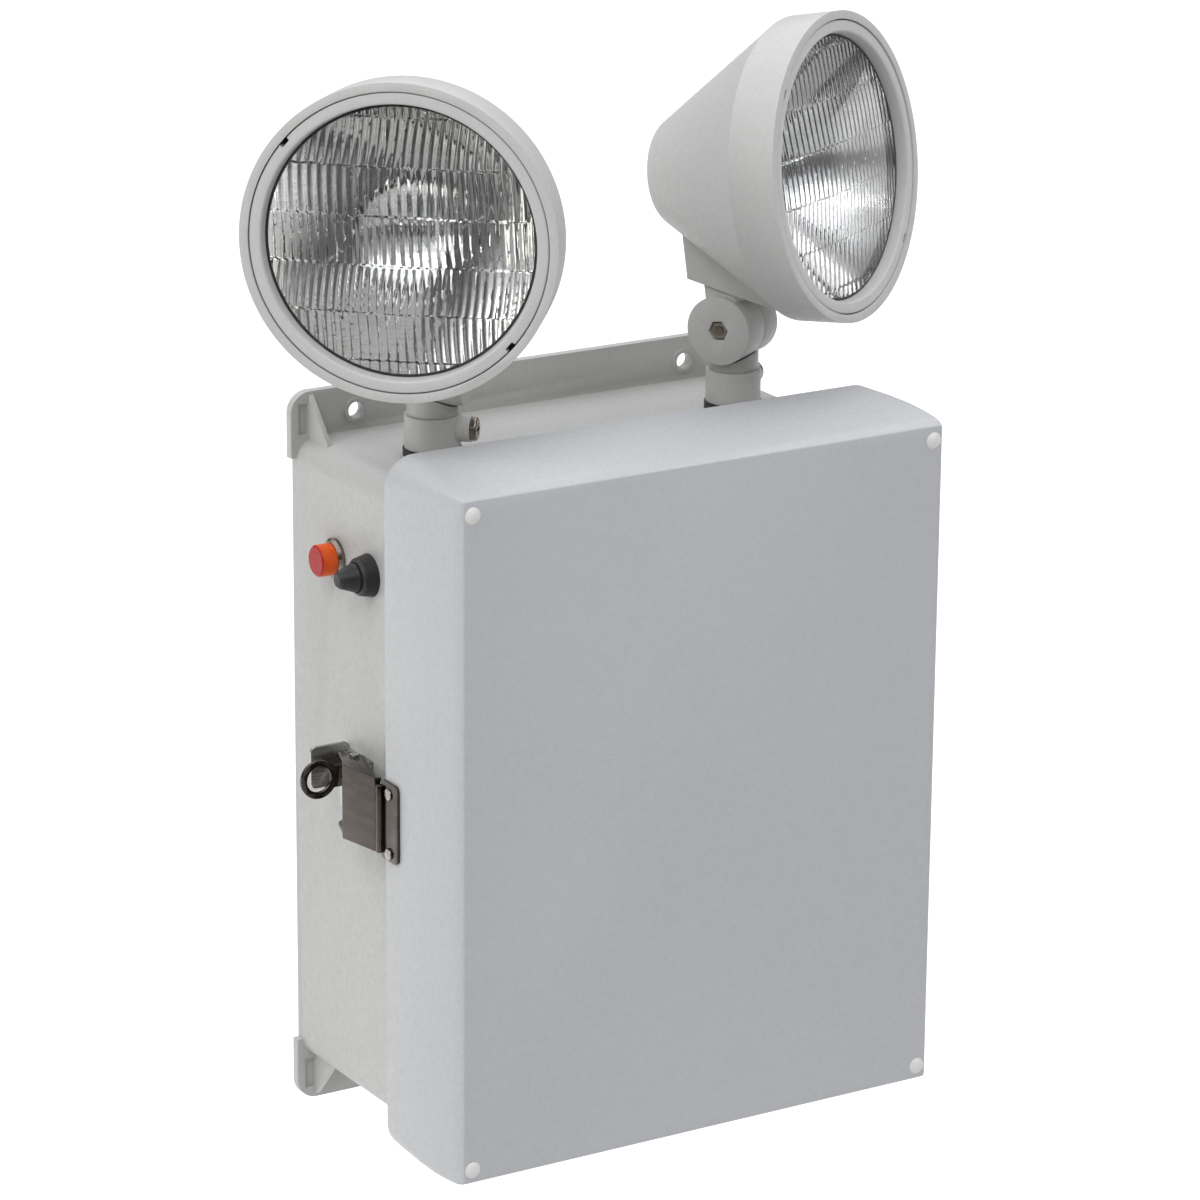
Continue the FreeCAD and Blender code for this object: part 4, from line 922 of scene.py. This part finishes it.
@dataclass(frozen=True)
class Viewpoint:
    """Where the camera stands: angles in degrees, lengths in metres."""

    azimuth: float = -31.326
    elevation: float = 17.564
    roll: float = 0.449
    distance: float = 2.149685
    target: tuple[float, float, float] = (-0.004394, -0.07591, 0.07119)
    lens: float = 155.7455
    sensor: float = 36.0

    def build(self) -> None:
        """Create the camera and make it the scene's."""
        turn, rise = math.radians(self.azimuth), math.radians(self.elevation)
        back = Vector((math.sin(turn) * math.cos(rise), -math.cos(turn) * math.cos(rise),
                       math.sin(rise)))
        right = Vector((0, 0, 1)).cross(back).normalized()
        upward = back.cross(right)
        lean = math.radians(self.roll)
        across = right * math.cos(lean) + upward * math.sin(lean)
        along = upward * math.cos(lean) - right * math.sin(lean)
        data = bpy.data.cameras.new("camera")
        data.lens, data.sensor_width = self.lens, self.sensor
        camera = bpy.data.objects.new("camera", data)
        bpy.context.scene.collection.objects.link(camera)
        basis = Matrix((across, along, back)).transposed()
        camera.matrix_world = Matrix.Translation(
            Vector(self.target) + back * self.distance) @ basis.to_4x4()
        bpy.context.scene.camera = camera


@dataclass(frozen=True)
class Lamp:
    """A soft studio light aimed at a point."""

    name: str
    spot: tuple[float, float, float]
    power: float
    size: float
    tint: Colour = (1.0, 1.0, 1.0)
    aim: tuple[float, float, float] = (0.0, -0.06, 0.06)

    def build(self) -> None:
        """Create the area light."""
        data = bpy.data.lights.new(self.name, "AREA")
        data.energy, data.size, data.color = self.power, self.size, self.tint
        lamp = bpy.data.objects.new(self.name, data)
        lamp.location = self.spot
        way = Vector(self.aim) - Vector(self.spot)
        lamp.rotation_euler = way.to_track_quat("-Z", "Y").to_euler()
        bpy.context.scene.collection.objects.link(lamp)


@dataclass(frozen=True)
class Studio:
    """A plain pale floor, a sky that is brightest overhead, and soft lights."""

    floor_level: float = -0.9
    floor_half: float = 60.0
    floor_tone: Colour = (0.35, 0.35, 0.35)
    glow_from: float = -1.6
    glow_to: float = 0.2
    glow_front: float = 0.1
    glow_back: float = 0.85
    horizon: float = 0.10
    zenith: float = 1.75
    sky_tint: Colour = (0.97, 0.975, 1.03)
    sky_from: float = 0.15
    sky_to: float = 0.75
    lamps: tuple[Lamp, ...] = (
        Lamp("key_light", (-1.8, -1.6, 2.4), 14.0, 0.7),
        Lamp("left_light", (-3.0, -0.2, 1.1), 12.0, 1.0, (1.0, 0.99, 0.93)),
        Lamp("fill_light", (0.3, -2.2, 2.0), 7.0, 0.8),
    )

    def build(self) -> None:
        """Create the floor, the sky and the lights."""
        form = Form()
        bmesh.ops.create_grid(form.bm, x_segments=1, y_segments=1, size=self.floor_half,
                              matrix=Matrix.Translation((0, 0, self.floor_level)))
        mesh = bpy.data.meshes.new("floor")
        form.bm.to_mesh(mesh)
        form.bm.free()
        mesh.materials.append(self.floor_paint())
        floor = bpy.data.objects.new("floor", mesh)
        bpy.context.scene.collection.objects.link(floor)
        self.make_sky()
        for lamp in self.lamps:
            lamp.build()
        bpy.context.scene.view_settings.view_transform = "Standard"

    def floor_paint(self) -> bpy.types.Material:
        """White paint that glows behind the object, so that it reads as a seamless backdrop.

        Returns:
            The floor's material.
        """
        paint = bpy.data.materials.new("floor_paint")
        paint.use_nodes = True
        shader = paint.node_tree.nodes["Principled BSDF"]
        graph = Graph(paint.node_tree)
        depth = graph.part(graph.node("ShaderNodeTexCoord").outputs["Object"], "Y")
        glow = graph.remap(depth, self.glow_from, self.glow_to, self.glow_front, self.glow_back)
        graph.feed(shader, Base_Color=opaque(self.floor_tone), Roughness=1.0,
                   Specular_IOR_Level=0.0, Emission_Color=opaque((1.0, 1.0, 1.0)),
                   Emission_Strength=glow)
        return paint

    def make_sky(self) -> None:
        """Sky that is bright overhead and dim towards the horizon."""
        world = bpy.data.worlds.new("sky")
        world.use_nodes = True
        graph = Graph(world.node_tree)
        height = graph.part(graph.node("ShaderNodeTexCoord").outputs["Generated"], "Z")
        glow = graph.remap(height, self.sky_from, self.sky_to, self.horizon, self.zenith)
        graph.feed(world.node_tree.nodes["Background"], Color=opaque(self.sky_tint),
                   Strength=glow)
        bpy.context.scene.world = world


def dress_nodes() -> None:
    """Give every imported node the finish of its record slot."""
    finishes = Palette.by_slot()
    slots = {part["node"]: part["material_slot"] for part in frame["record"]["subparts"]}
    for name, node in frame["nodes"].items():
        finish = finishes[slots[name]]
        node.data.materials.clear()
        node.data.materials.append(finish.material())
        log.info("%s: packed node in %s", name, finish.name)


def main() -> None:
    """Build the studio and every sub-assembly."""
    logging.basicConfig(level=logging.INFO, format="%(message)s")
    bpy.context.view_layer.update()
    Viewpoint().build()
    Studio().build()
    dress_nodes()
    Enclosure().build()
    FrontCover().build()
    Latch().build()
    LampHead(Hand.LEFT, -42.1, 0.5).build()
    LampHead(Hand.RIGHT, 29.3, 8.1).build()


if __name__ == "__main__":
    main()
